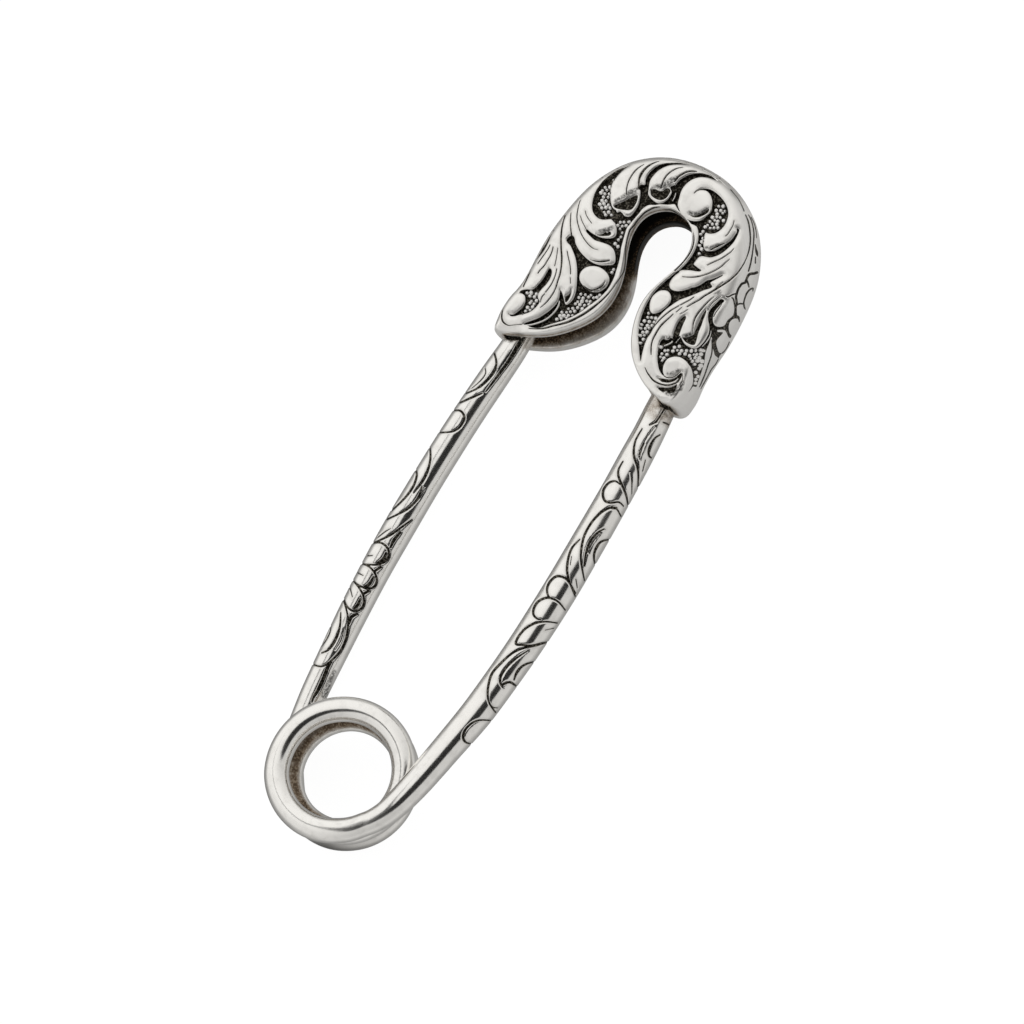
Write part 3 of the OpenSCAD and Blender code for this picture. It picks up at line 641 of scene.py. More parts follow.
def face_lines() -> list[Mark]:
    """Engraved lines on the leaves and along the rims. Rows: x, y, half width."""
    return marks_of(
        Cut.LINE,
        ((-5.65, 39.15, 0.03), (-5.05, 39.45, 0.05), (-4.48, 39.81, 0.07), (-3.98, 40.28, 0.07),
         (-3.4, 40.78, 0.08), (-2.92, 41.27, 0.09), (-2.5, 41.88, 0.09), (-2.16, 42.44, 0.09),
         (-1.86, 43.08, 0.09), (-1.59, 43.76, 0.07), (-1.36, 44.51, 0.06), (-1.24, 45.2, 0.05),
         (-1.19, 45.99, 0.04), (-1.15, 46.64, 0.04), (-1.19, 47.15, 0.06), (-1.42, 47.7, 0.05),
         (-1.78, 48.29, 0.05), (-2.09, 48.9, 0.05), (-2.33, 49.45, 0.06), (-2.55, 50.3, 0.06),
         (-2.45, 50.78, 0.07), (-2.42, 51.28, 0.07), (-2.34, 51.71, 0.07), (-2.22, 52.16, 0.07),
         (-1.98, 52.58, 0.07), (-1.7, 52.92, 0.06), (-1.35, 53.15, 0.03)),
        ((-0.84, 53.13, 0.04), (-0.48, 53.34, 0.05), (-0.01, 53.37, 0.05), (0.54, 53.27, 0.05),
         (1.11, 53.14, 0.05), (1.63, 52.93, 0.05), (2.01, 52.7, 0.05), (2.38, 52.41, 0.05),
         (2.64, 52.06, 0.05), (2.83, 51.59, 0.05), (2.91, 51.14, 0.05), (2.91, 50.66, 0.05),
         (2.85, 50.2, 0.05), (2.74, 49.66, 0.05), (2.59, 49.1, 0.05)),
        ((4.32, 52.03, 0.06), (4.58, 52.41, 0.07), (4.84, 52.79, 0.07), (5.04, 53.01, 0.04)),
        ((-3.53, 44.44, 0.02), (-3.13, 44.34, 0.05), (-2.76, 44.38, 0.06), (-2.49, 44.58, 0.06),
         (-2.26, 44.85, 0.07), (-2.11, 45.16, 0.06), (-2.08, 45.57, 0.02)),
        ((-8.15, 49.78, 0.04), (-8.09, 49.27, 0.04), (-8.04, 48.87, 0.05), (-7.94, 48.43, 0.05),
         (-7.81, 48.01, 0.06), (-7.57, 47.46, 0.07), (-7.24, 46.86, 0.07), (-6.87, 46.28, 0.07),
         (-6.47, 45.72, 0.07), (-6.2, 45.28, 0.07), (-5.97, 44.82, 0.06), (-5.75, 44.26, 0.06),
         (-5.63, 43.75, 0.05), (-5.51, 43.32, 0.05), (-5.44, 42.97, 0.04), (-5.41, 42.6, 0.04),
         (-5.44, 42.16, 0.04), (-5.5, 41.78, 0.04), (-5.59, 41.45, 0.03), (-5.73, 41.11, 0.02)),
        ((-7.72, 49.23, 0.03), (-7.52, 48.85, 0.04), (-7.26, 48.4, 0.04), (-6.95, 47.98, 0.05),
         (-6.66, 47.6, 0.05)),
        ((-7.58, 50.51, 0.03), (-7.52, 50.2, 0.03), (-7.34, 49.71, 0.04), (-7.13, 49.24, 0.04),
         (-6.88, 48.89, 0.04), (-6.57, 48.57, 0.04), (-6.15, 48.21, 0.04), (-5.74, 47.94, 0.04),
         (-5.31, 47.73, 0.04), (-4.81, 47.56, 0.04), (-4.39, 47.51, 0.03), (-4.04, 47.58, 0.02)),
        ((-6.87, 49.38, 0.03), (-6.53, 49.07, 0.03), (-6.2, 48.86, 0.03), (-5.87, 48.65, 0.03)),
        ((-6.74, 49.94, 0.03), (-6.48, 49.68, 0.03), (-6.14, 49.48, 0.03), (-5.69, 49.28, 0.03)),
        ((-7.51, 46.04, 0.04), (-7.38, 45.63, 0.04), (-7.32, 45.22, 0.04), (-7.32, 44.88, 0.04),
         (-7.31, 44.47, 0.04), (-7.35, 44.14, 0.04), (-7.44, 43.8, 0.04), (-7.46, 43.52, 0.04)),
        ((-7.11, 46.15, 0.03), (-6.94, 45.76, 0.03), (-6.77, 45.37, 0.03), (-6.62, 44.96, 0.03),
         (-6.54, 44.71, 0.03)),
        ((-6.25, 44.57, 0.04), (-6.13, 44.25, 0.04), (-6.04, 43.91, 0.04), (-5.98, 43.51, 0.04),
         (-5.96, 43.09, 0.04), (-5.99, 42.73, 0.04), (-6.03, 42.44, 0.04)),
        ((-6.26, 46.27, 0.04), (-6.03, 46, 0.04), (-5.75, 45.71, 0.04), (-5.45, 45.39, 0.04),
         (-5.18, 45.04, 0.04), (-5, 44.75, 0.04)),
        ((-4.83, 44.46, 0.03), (-4.57, 44.06, 0.03)),
        ((-6.01, 42.29, 0.03), (-6.08, 42.01, 0.03), (-6.06, 41.73, 0.03), (-6, 41.52, 0.03)),
        ((-8.43, 39.46, 0.03), (-8.32, 39.13, 0.06), (-8.15, 38.84, 0.07), (-7.91, 38.62, 0.07),
         (-7.61, 38.54, 0.06), (-7.28, 38.57, 0.03), (-6.85, 38.85, 0.02), (-6.35, 39.16, 0.02)),
        ((-8.46, 45.93, 0.03), (-8.43, 45.56, 0.03), (-8.36, 45.21, 0.03)),
        ((-8.24, 47.26, 0.04), (-8.24, 46.87, 0.05), (-8.17, 46.42, 0.06), (-8.14, 46.05, 0.07),
         (-8.13, 45.72, 0.09), (-8.15, 45.27, 0.11), (-8.21, 44.61, 0.07)),
        ((-7.84, 46.06, 0.04), (-7.81, 45.69, 0.04), (-7.83, 45.24, 0.04), (-7.87, 44.74, 0.04),
         (-7.91, 44.23, 0.04)),
        ((-8.12, 43.3, 0.05), (-8.03, 42.67, 0.05), (-8, 42.3, 0.05), (-7.97, 41.98, 0.05)),
        ((-4.12, 46.59, 0.02), (-3.77, 46.66, 0.05), (-3.36, 46.81, 0.07), (-3.01, 47.03, 0.07),
         (-2.7, 47.25, 0.05)),
        ((-4.45, 55.64, 0.02), (-4.63, 55.31, 0.03), (-4.78, 54.91, 0.04), (-4.84, 54.52, 0.04),
         (-4.85, 54.13, 0.04), (-4.82, 53.75, 0.04), (-4.73, 53.41, 0.04), (-4.6, 53.09, 0.04),
         (-4.4, 52.76, 0.03)),
        ((-3.48, 56.47, 0.02), (-3.71, 56.22, 0.04), (-3.92, 55.92, 0.06), (-4.09, 55.54, 0.07),
         (-4.19, 55.15, 0.09), (-4.2, 54.71, 0.1), (-4.11, 54.32, 0.08), (-3.92, 53.93, 0.06),
         (-3.82, 53.7, 0.04)),
        ((-1.41, 56.96, 0.02), (-1.74, 56.69, 0.03), (-1.96, 56.41, 0.04), (-2.14, 56.06, 0.04),
         (-2.25, 55.68, 0.05), (-2.26, 55.29, 0.05), (-2.21, 54.93, 0.05), (-2.1, 54.55, 0.04)),
        ((-0.19, 57.2, 0.03), (-0.57, 57.02, 0.05), (-0.91, 56.77, 0.06), (-1.12, 56.48, 0.07),
         (-1.31, 56.14, 0.07), (-1.37, 55.85, 0.07), (-1.4, 55.59, 0.05)),
        ((0.6, 55.48, 0.02), (0.68, 55.78, 0.04), (0.87, 56.02, 0.05), (1.11, 56.18, 0.06)),
        ((1.51, 57.45, 0.06), (1.93, 57.41, 0.05), (2.46, 57.35, 0.04), (3.04, 57.19, 0.04),
         (3.67, 56.96, 0.03), (4.19, 56.73, 0.03), (4.68, 56.41, 0.04), (5.05, 56.12, 0.05)),
        ((4.76, 55.01, 0.03), (4.88, 54.64, 0.03), (4.9, 54.21, 0.03), (4.89, 53.82, 0.03),
         (4.81, 53.56, 0.03)),
        ((5.34, 55.89, 0.05), (5.79, 55.55, 0.07), (6.15, 55.16, 0.07), (6.52, 54.68, 0.07),
         (6.8, 54.25, 0.07), (7.02, 53.79, 0.07), (7.19, 53.31, 0.06), (7.29, 52.83, 0.05),
         (7.35, 52.33, 0.05), (7.35, 51.85, 0.06), (7.31, 51.35, 0.07), (7.18, 50.85, 0.07),
         (6.99, 50.36, 0.08), (6.72, 49.84, 0.07), (6.45, 49.33, 0.07), (6.17, 48.83, 0.06),
         (5.88, 48.34, 0.06), (5.73, 47.95, 0.05), (5.43, 47.48, 0.05), (5.21, 47.1, 0.04),
         (5.12, 46.93, 0.03)),
        ((5.56, 56.01, 0.04), (5.97, 55.74, 0.05), (6.36, 55.37, 0.05), (6.75, 54.9, 0.06),
         (7.05, 54.38, 0.06), (7.32, 53.85, 0.06), (7.56, 53.31, 0.06), (7.75, 52.83, 0.07),
         (7.92, 52.35, 0.07), (8.03, 51.92, 0.07)),
        ((5.83, 55.96, 0.03), (6.32, 55.63, 0.04), (6.82, 55.13, 0.04), (7.17, 54.64, 0.03)),
        ((7.36, 54.11, 0.04), (7.6, 53.81, 0.08), (7.85, 53.56, 0.11), (8.03, 53.36, 0.05)),
        ((7.93, 53.21, 0.05), (8.18, 52.77, 0.06)),
        ((8.72, 52.14, 0.12), (8.55, 51.96, 0.12), (8.27, 51.76, 0.12), (8.21, 51.54, 0.11),
         (8.24, 51.27, 0.1), (8.27, 51.04, 0.1)),
        ((8.28, 51.19, 0.09), (8.54, 51, 0.08), (8.77, 50.78, 0.06)),
        ((9.22, 50.63, 0.04), (9.13, 50.83, 0.07), (8.98, 50.7, 0.08), (8.91, 50.5, 0.08),
         (8.88, 50.23, 0.08), (8.93, 49.93, 0.07), (9, 49.65, 0.07), (9.1, 49.39, 0.07),
         (9.32, 49.13, 0.07), (9.48, 49.02, 0.04)),
        ((8.31, 50.95, 0.1), (8.11, 50.75, 0.11), (8.07, 50.5, 0.1), (8.07, 50.19, 0.1), (8.15, 49.85, 0.1),
         (8.24, 49.57, 0.1), (8.41, 49.34, 0.1), (8.59, 49.12, 0.1), (8.65, 48.9, 0.09),
         (8.87, 48.53, 0.07), (9.09, 48.17, 0.1)),
        ((8.68, 49.01, 0.07), (8.82, 49.21, 0.07), (9.1, 49.33, 0.07)),
        ((7.51, 49.22, 0.05), (7.67, 49.24, 0.07), (7.77, 49.39, 0.07), (7.91, 49.6, 0.07),
         (8.07, 49.78, 0.05)),
        ((7.95, 49.34, 0.04), (8.07, 49.33, 0.07), (8.23, 49.22, 0.07), (8.41, 49.03, 0.07),
         (8.64, 48.76, 0.07), (8.81, 48.47, 0.07), (8.93, 48.21, 0.1)),
        ((9.04, 48.02, 0.11), (9.13, 48.11, 0.15), (9.3, 48.16, 0.12), (9.46, 48.05, 0.07),
         (9.58, 47.9, 0.05)),
        ((5.97, 52.95, 0.02), (5.91, 52.63, 0.03), (5.74, 52.25, 0.04), (5.54, 51.86, 0.04),
         (5.31, 51.52, 0.04), (5.04, 51.16, 0.04), (4.76, 50.75, 0.03)),
        ((6.13, 52.02, 0.02), (6, 51.67, 0.03), (5.85, 51.2, 0.04), (5.6, 50.73, 0.04), (5.29, 50.28, 0.04),
         (4.94, 49.89, 0.04), (4.5, 49.5, 0.05), (4, 49.19, 0.04), (3.46, 48.95, 0.03)),
        ((6.66, 50.1, 0.03), (6.5, 49.72, 0.03), (6.41, 49.39, 0.03)),
        ((5.17, 47.91, 0.03), (5.01, 47.54, 0.04), (4.76, 47.15, 0.04), (4.54, 46.79, 0.03)),
        ((4.46, 46.68, 0.03), (4.21, 46.28, 0.04), (4.05, 45.98, 0.05), (3.85, 45.49, 0.05),
         (3.71, 45.08, 0.05), (3.57, 44.57, 0.05), (3.49, 44.1, 0.05), (3.51, 43.67, 0.05),
         (3.5, 43.29, 0.04)),
        ((4.76, 46.67, 0.02), (4.56, 46.11, 0.02)),
        ((5.29, 46.76, 0.02), (5.11, 46.41, 0.02), (4.92, 46.12, 0.02)),
        ((4.41, 45.85, 0.03), (4.31, 45.47, 0.04), (4.17, 45.08, 0.05), (4.03, 44.55, 0.06),
         (3.99, 44.09, 0.06), (4, 43.65, 0.06), (4.03, 43.23, 0.05), (4.13, 42.85, 0.05),
         (4.31, 42.47, 0.06), (4.57, 42.06, 0.04)),
        ((6.64, 48.69, 0.02), (6.49, 48.3, 0.04), (6.35, 47.77, 0.05), (6.23, 47.13, 0.06),
         (6.19, 46.66, 0.06), (6.22, 46.29, 0.06), (6.3, 45.95, 0.05), (6.42, 45.7, 0.04),
         (6.6, 45.35, 0.03), (6.69, 45.14, 0.03)),
        ((7.1, 49.01, 0.03), (6.94, 48.63, 0.04), (6.77, 48.16, 0.04), (6.75, 47.76, 0.03),
         (6.79, 47.46, 0.02)),
        ((7.54, 48.5, 0.02), (7.5, 48.03, 0.04), (7.46, 47.62, 0.04), (7.48, 47.27, 0.04)),
        ((8.39, 45.5, 0.04), (8.73, 44.98, 0.06), (8.95, 44.53, 0.06), (9.08, 44.08, 0.06),
         (9.17, 43.62, 0.06), (9.29, 43.11, 0.06), (9.4, 42.6, 0.06), (9.46, 42.18, 0.06),
         (9.52, 41.77, 0.05), (9.52, 41.61, 0.03)),
        ((9.7, 44.35, 0.04), (9.71, 43.91, 0.05), (9.66, 43.57, 0.05), (9.63, 43.29, 0.05),
         (9.66, 42.81, 0.05), (9.68, 42.37, 0.05), (9.69, 41.92, 0.05), (9.71, 41.52, 0.03)),
        ((9.74, 46.03, 0.04), (9.8, 45.61, 0.05), (9.79, 45.22, 0.05), (9.73, 44.97, 0.06)),
        ((6.47, 41.03, 0.04), (6.67, 41.02, 0.04), (6.89, 41.09, 0.04), (7.08, 41.21, 0.04),
         (7.23, 41.38, 0.04), (7.34, 41.63, 0.04), (7.4, 41.85, 0.03), (7.5, 42.01, 0.02)),
        ((4.72, 40.87, 0.03), (5.02, 40.64, 0.05), (5.4, 40.46, 0.06), (5.81, 40.3, 0.07),
         (6.23, 40.26, 0.07), (6.59, 40.31, 0.07), (6.97, 40.43, 0.07), (7.3, 40.63, 0.07),
         (7.52, 40.86, 0.07), (7.68, 41.12, 0.06), (7.74, 41.45, 0.05), (7.71, 41.79, 0.04)),
        ((7.69, 41.94, 0.02), (8, 41.4, 0.03), (7.99, 40.96, 0.02)),
        ((6.19, 40.63, 0.05), (6.5, 40.67, 0.12), (6.81, 40.75, 0.14), (7.1, 40.91, 0.13),
         (7.34, 41.15, 0.11), (7.49, 41.46, 0.08), (7.57, 41.82, 0.03)),
    )


def face_leaf_shade() -> list[Mark]:
    """Painted shade on the leaves, as soft dark specks. Rows: x, y, half width."""
    return marks_of(
        Cut.OXIDE_AND_SHADE,
        ((-4.89, 51.87, 0.08), (-4.48, 52.48, 0.12), (-4.11, 53.16, 0.16), (-3.87, 53.57, 0.08)),
        ((-2.51, 54.57, 0.08), (-2.07, 54.81, 0.12), (-1.83, 55.22, 0.16), (-1.66, 55.6, 0.16),
         (-1.46, 55.9, 0.08)),
        ((-4.74, 49.05, 0.05), (-4.34, 49.36, 0.08), (-4.0, 49.77, 0.07)),
        ((1.05, 53.88, 0.04), (1.56, 54.0, 0.06), (1.94, 54.35, 0.06), (2.15, 54.8, 0.04)),
        ((-3.3, 44.3, 0.02), (-2.65, 44.36, 0.04), (-2.17, 44.7, 0.04), (-1.98, 45.19, 0.02)),
        ((7.11, 39.94, 0.08), (7.58, 39.96, 0.13), (7.93, 40.19, 0.15), (7.93, 40.67, 0.11)),
        ((6.65, 41.32, 0.03), (6.98, 41.59, 0.05), (7.23, 41.97, 0.04)),
        ((3.86, 51.98, 0.03), (4.28, 52.25, 0.05), (4.61, 52.67, 0.04)),
        ((6.3, 44.77, 0.08), (6.55, 45.0, 0.08)),
        ((4.7, 43.73, 0.08), (5.06, 43.93, 0.08)),
        ((8.08, 41.22, 0.1), (8.19, 40.71, 0.1)),
        ((6.66, 48.99, 0.08), (6.86, 49.29, 0.08)),
    )


def face_carving() -> Carving:
    """The scrolls on the cap's face and its right shoulder, drawn on the plane of the face."""
    marks = face_ground() + face_isles() + face_facets() + face_beads()
    marks += face_rims() + face_lines() + face_leaf_shade()
    bosses = [
        Boss(-3.1, 45.4, 1.35, 1.25, 0.03),
        Boss(-7.8, 40.6, 0.9, 1.3, 0.05),
        Boss(1.1, 54.9, 1.5, 1.5, 0.03),
        Boss(5.6, 42.0, 1.5, 1.4, 0.04),
    ]
    return Carving(marks, bosses)


def wall_carving(pitch: float) -> Carving:
    """Rows of overlapping scales between two lines, for the side walls that the photograph doesn't show.

    Args:
        pitch: Length of one scale along the wall.

    Returns:
        One scale with its neighbours; x runs along the wall from 0 to the pitch, and y is the height.
    """
    marks: list[Mark] = []
    for x in (-0.5 * pitch, 0.5 * pitch, 1.5 * pitch):
        half, lean = 0.5 * pitch, 0.16 * pitch
        marks += marks_of(
            Cut.LINE,
            ((x - half, 3.72, 0.06), (x - half + lean, 2.9, 0.04), (x - half + lean, 2.1, 0.04),
             (x - half, 1.45, 0.06)),
            ((x - half, 3.72, 0.06), (x, 3.95, 0.035), (x + half, 3.72, 0.06)),
            ((x - half, 1.45, 0.06), (x, 1.25, 0.035), (x + half, 1.45, 0.06)),
            ((x, 3.95, 0.05), (x + 0.05, 4.3, 0.03), (x, 4.62, 0.04)),
            ((x + 0.1, 3.2, 0.015), (x + 0.22, 2.6, 0.025), (x + 0.1, 2.0, 0.015)),
        )
    marks += marks_of(Cut.LINE, *(((-1.0, y, 0.035), (pitch + 1.0, y, 0.035)) for y in (4.72, 0.85)))
    return Carving(marks, line_depth=0.07, swell=0.0, rounding=0.0)


@dataclass(frozen=True)
class Patch:
    """A mesh in the making: points, faces, flat end faces, and the fields that its finish reads."""

    points: Array
    faces: Array
    flat: list[tuple[int, ...]]
    fields: dict[str, Array]


def grid_faces(rows: int, columns: int) -> Array:
    """Quads of a grid whose rows close on themselves, the points laid out column by column.

    Point (row j, column i) has number i * rows + j, and the quad (j, i) joins rows j and j + 1 of columns i
    and i + 1, so the faces point outwards where the rows turn to the left round the direction of travel.

    Args:
        rows: Points in a column.
        columns: Number of columns.

    Returns:
        The four points of each quad.
    """
    i, j = np.meshgrid(np.arange(columns - 1), np.arange(rows), indexing="ij")
    k = (j + 1) % rows
    return np.stack([i * rows + j, i * rows + k, (i + 1) * rows + k, (i + 1) * rows + j], -1).reshape(-1, 4)


def by_column(values: Array) -> Array:
    """Values that are laid out in rows and columns, listed column after column."""
    return np.swapaxes(values, 0, 1).reshape(values.shape[0] * values.shape[1], -1)


def make_object(name: str, patch: Patch, material: bpy.types.Material) -> bpy.types.Object:
    """Puts a patch into a new mesh object at the origin.

    Args:
        name: Name of the piece.
        patch: The mesh, in millimetres of the drawing.
        material: Its finish.

    Returns:
        The linked object, smooth but for its flat end faces.
    """
    faces, ends = patch.faces, patch.flat
    loops = np.concatenate([faces.ravel()] + [np.array(e) for e in ends])
    sizes = np.concatenate([np.full(len(faces), faces.shape[1])] + [[len(e)] for e in ends]).astype(np.int32)
    starts = np.concatenate([[0], np.cumsum(sizes)[:-1]]).astype(np.int32)
    mesh = bpy.data.meshes.new(name)
    mesh.vertices.add(len(patch.points))
    mesh.vertices.foreach_set("co", to_row(patch.points).astype(np.float32).ravel())
    mesh.loops.add(len(loops))
    mesh.loops.foreach_set("vertex_index", loops.astype(np.int32))
    mesh.polygons.add(len(sizes))
    mesh.polygons.foreach_set("loop_start", starts)
    mesh.polygons.foreach_set("use_smooth", np.arange(len(sizes)) < len(faces))
    mesh.update(calc_edges=True)
    mesh.validate()
    end_of = np.zeros(len(patch.points), int)
    for k, end in enumerate(ends):
        end_of[list(end)] = k + 1
    pairs = np.empty(2 * len(mesh.edges), np.int32)
    mesh.edges.foreach_get("vertices", pairs)
    first, second = end_of[pairs.reshape(-1, 2)].T
    sharp = mesh.attributes.new("sharp_edge", "BOOLEAN", "EDGE")
    sharp.data.foreach_set("value", (first > 0) & (first == second))
    for label, values in patch.fields.items():
        held = mesh.attributes.new(label, "FLOAT", "POINT")
        held.data.foreach_set("value", values.astype(np.float32).ravel())
    mesh.materials.append(material)
    made = bpy.data.objects.new(name, mesh)
    bpy.context.scene.collection.objects.link(made)
    return made


@dataclass
class Cap:
    """The hollow scrolled cap, one casting in five lengths from tip to tip."""

    depth: float = 5.4
    plate: float = 1.3
    wall: float = 0.65
    dome: float = 0.25
    back_spread: float = 0.1
    tip_fall: float = 0.12
    hollow_corner: float = 0.5
    edge_round: float = 0.14
    # Radii of the tips' rounding, off the face and in from the outer rail.
    tip_edge: float = 0.16
    tip_turn: float = 0.4
    # Smoothing passes over the outside, and over its upper part, from crest_z upwards.
    passes: int = 40
    crest_passes: int = 260
    crest_z: float = 3.6
    scale_length: float = 1.55
    # Heights of the scales' upper end, the drawing's lower end and the satin's upper end.
    scale_z: float = 4.95
    foot_z: float = 0.9
    satin_z: float = 5.42
    face_rows: int = 146
    shoulder_rows: int = 96
    columns: int = 1560
    inner_rail: tuple[Row, ...] = (
        (-7.3, 38.02), (-6.58, 38.33), (-5.78, 38.68), (-4.86, 39.15), (-3.91, 39.8), (-2.92, 40.72),
        (-2.06, 41.77), (-1.47, 42.79), (-1.13, 43.9), (-1.05, 45), (-1.17, 46.11), (-1.58, 47.43),
        (-2.14, 48.72), (-2.55, 50), (-2.6, 51.2), (-2.3, 52.2), (-1.63, 52.99), (-0.62, 53.5),
        (0.51, 53.45), (1.53, 53.04), (2.28, 52.24), (2.65, 51.28), (2.67, 50.21), (2.36, 49.06),
        (1.94, 47.89), (1.54, 46.57), (1.46, 45.2), (1.71, 43.87), (2.22, 42.56), (3.02, 41.33),
        (4.15, 40.33), (5.35, 39.64), (6.36, 39.35), (7.08, 39.15),
    )
    outer_rail: tuple[Row, ...] = (
        (-8.93, 37.69), (-9.09, 38.61), (-9.24, 39.8), (-9.18, 41.1), (-8.95, 42.5), (-9, 44),
        (-9.11, 45.5), (-9.13, 47), (-9.02, 48.49), (-8.82, 49.98), (-8.52, 51.47), (-8.07, 52.85),
        (-7.37, 54.22), (-6.46, 55.48), (-5.37, 56.48), (-4.12, 57.28), (-2.67, 57.84), (-1.1, 58.14),
        (0.4, 58.18), (1.9, 58.01), (3.42, 57.49), (4.79, 56.72), (5.89, 55.84), (6.82, 54.72),
        (7.56, 53.43), (8.12, 52.04), (8.45, 50.54), (8.62, 49.02), (8.72, 47.41), (8.71, 45.79),
        (8.58, 44.19), (8.59, 42.61), (8.77, 41.09), (8.65, 39.49),
    )
    # Side of the cap: step in from the widest line, share of the height.
    skin: tuple[Row, ...] = (
        (0.9, 0.86), (0.48, 0.77), (0.15, 0.65), (0.0, 0.5), (0.08, 0.32), (0.3, 0.16), (0.65, 0.05),
        (1.1, 0.0),
    )
    lengths: tuple[str, ...] = (
        "cap_left_tip", "cap_left_lobe", "cap_crown", "cap_right_lobe", "cap_right_tip",
    )

    def rails(self) -> tuple[Array, Array]:
        """The two rails as fair curves.

        Returns:
            The inner and the outer rail, x and y in evenly spaced columns.
        """
        u = np.linspace(0, 1, 4000)
        a, b = (curve_through(np.array(r), u) for r in (self.inner_rail, self.outer_rail))
        both = fair(np.concatenate([a, b], 1), 1500)
        both = rows_at(both, even_steps(both, self.columns))
        return both[:, :2], both[:, 2:]

    def section(self, w: Array, tip: Array) -> tuple[Array, dict[str, slice]]:
        """The plain cross-section before carving.

        Args:
            w: Width of the cap at each column.
            tip: Distance of each column from the nearer end.

        Returns:
            An array of rows, columns and (distance from the inner rail, height), and the rows of each part.
        """
        k = np.minimum(1.1, 0.55 + 0.08 * w)
        rim = self.depth - self.tip_fall * (1 - ease((w - 1) / 2.5)) - fallen_away(tip, self.tip_edge)
        full = ease((w - 3.5) / 5)

        def face(f: float) -> Array:
            """Height of the face at a share of the way across."""
            return rim + full * self.dome * ease(f / 0.5) * (1 - 1.2 * ease((f - 0.5) / 0.5))

        edge = w - k * self.skin[0][0]
        h = face(1.0) / self.skin[0][1]
        r = self.edge_round
        quarter = np.linspace(0, math.pi / 2, 5)
        short, long = r - r * np.sin(quarter), r - r * np.cos(quarter)

        def rows(d: list[Array | float], z: list[Array | float]) -> Array:
            """Rows of distance and height, each drawn out over all columns."""
            return np.stack([np.stack([p + 0 * w, q + 0 * w]) for p, q in zip(d, z)])

        def corner_in(z: Array | float) -> Array:
            """Round corner from a plate's surface down its edge, the plate lying above."""
            return rows(list(short[1:]), [z + rise for rise in long[1:]])

        def corner_out(z: Array | float) -> Array:
            """Round corner from a plate's edge on to its upper surface."""
            return rows(list(long[:-1]), [z - fall for fall in short[:-1]])

        parts: dict[str, Array] = {}
        parts["front_edge"] = corner_out(rim)
        f = np.linspace(0, 1, self.face_rows, endpoint=False)
        parts["face"] = rows([r + (edge - r) * s for s in f], [face(s) for s in f])
        knots = [np.stack([r + (edge - r) * 0.93, face(0.93)])]
        knots += [np.stack([w - k * inset, h * share]) for inset, share in self.skin]
        knots += [np.stack([w * 0.5, 0 * w])]
        n = len(self.skin) - 1
        u = (1 + np.linspace(0, 1, self.shoulder_rows, endpoint=False) * n) / (n + 2)
        parts["shoulder"] = curve_through(np.array(knots), u)
        back = w - k * self.skin[-1][0]
        parts["back"] = rows([back + (r - back) * s for s in np.linspace(0, 1, 9)], [0.0] * 9)
        parts["back_edge"] = corner_in(0.0)
        parts["back_lip"] = rows([0.0] * 4, list(np.linspace(r, self.plate - r, 6)[1:-1]))
        parts["floor_edge"] = corner_out(self.plate)
        for name in ("back_edge", "back_lip", "floor_edge"):
            parts[name][:, 0] -= self.back_spread
        deep = w - self.wall
        corner = np.minimum(self.hollow_corner, deep * 0.4)
        flat, under = deep - corner, self.depth - self.plate
        parts["floor"] = rows([r + (flat - r) * s for s in np.linspace(0, 1, 8)], [self.plate] * 8)
        parts["hollow_low"] = rows(
            [flat + corner * math.sin(a) for a in quarter[1:]],
            [self.plate + self.hollow_corner * (1 - math.cos(a)) for a in quarter[1:]],
        )
        parts["hollow_high"] = rows(
            [flat + corner * math.cos(a) for a in quarter[:-1]],
            [under - self.hollow_corner * (1 - math.sin(a)) for a in quarter[:-1]],
        )
        parts["ceiling"] = rows([flat + (r - flat) * s for s in np.linspace(0, 1, 8)], [under] * 8)
        parts["ceiling_edge"] = corner_in(under)
        lip = np.linspace(0, 1, 9)[1:-1]
        parts["front_lip"] = rows([0.0] * 7, [under + r + (rim - under - 2 * r) * s for s in lip])
        where, start = {}, 0
        for name, part in parts.items():
            where[name] = slice(start, start + len(part))
            start += len(part)
        return np.concatenate(list(parts.values())).transpose(0, 2, 1), where

    def build(self) -> list[tuple[str, Patch]]:
        """The carved cap as closed lengths.

        The section runs along the rails, is smoothed over its outside, and is then carved along its normals.

        Returns:
            For each length its name and its patch.
        """
        a, b = self.rails()
        across = b - a
        w = np.linalg.norm(across, axis=1)
        e = across / w[:, None]
        middle = 0.5 * (a + b)
        along = np.concatenate([[0.0], np.cumsum(np.linalg.norm(np.diff(middle, axis=0), axis=1))])
        tip = np.minimum(along, along[-1] - along)
        profile, where = self.section(w - fallen_away(tip, self.tip_turn), tip)
        outside = slice(where["face"].start, where["shoulder"].stop)
        profile[outside] = fair(profile[outside], self.passes)
        high = ease((profile[outside, :, 1:] - self.crest_z) / 0.8)
        profile[outside] += high * (fair(profile[outside], self.crest_passes) - profile[outside])
        x = a[:, 0] + e[:, 0] * profile[..., 0]
        y = a[:, 1] + e[:, 1] * profile[..., 0]
        points = np.stack([x, y, profile[..., 1]], -1)
        normal = np.cross(np.gradient(points, axis=1), np.gradient(points, axis=0))
        normal /= np.linalg.norm(normal, axis=-1, keepdims=True)
        sight = EYE - points
        facing = (normal * sight).sum(-1) / np.linalg.norm(sight, axis=-1)
        relief = self.carve(points, profile, where, w, (a, b), tip, facing)
        points = points + normal * relief.height[..., None]
        fields = relief.fields(self.tarnish_and_shade(profile, where, points))
        rows = len(points)
        steps = np.linspace(0, self.columns - 1, len(self.lengths) + 1).round().astype(int)
        made = []
        for name, first, last in zip(self.lengths, steps[:-1], steps[1:]):
            part, count = slice(first, last + 1), last + 1 - first
            ends = [tuple(range(rows - 1, -1, -1)), tuple(range((count - 1) * rows, count * rows))]
            laid = {label: by_column(values[:, part]) for label, values in fields.items()}
            made.append((name, Patch(by_column(points[:, part]), grid_faces(rows, count), ends, laid)))
        return made

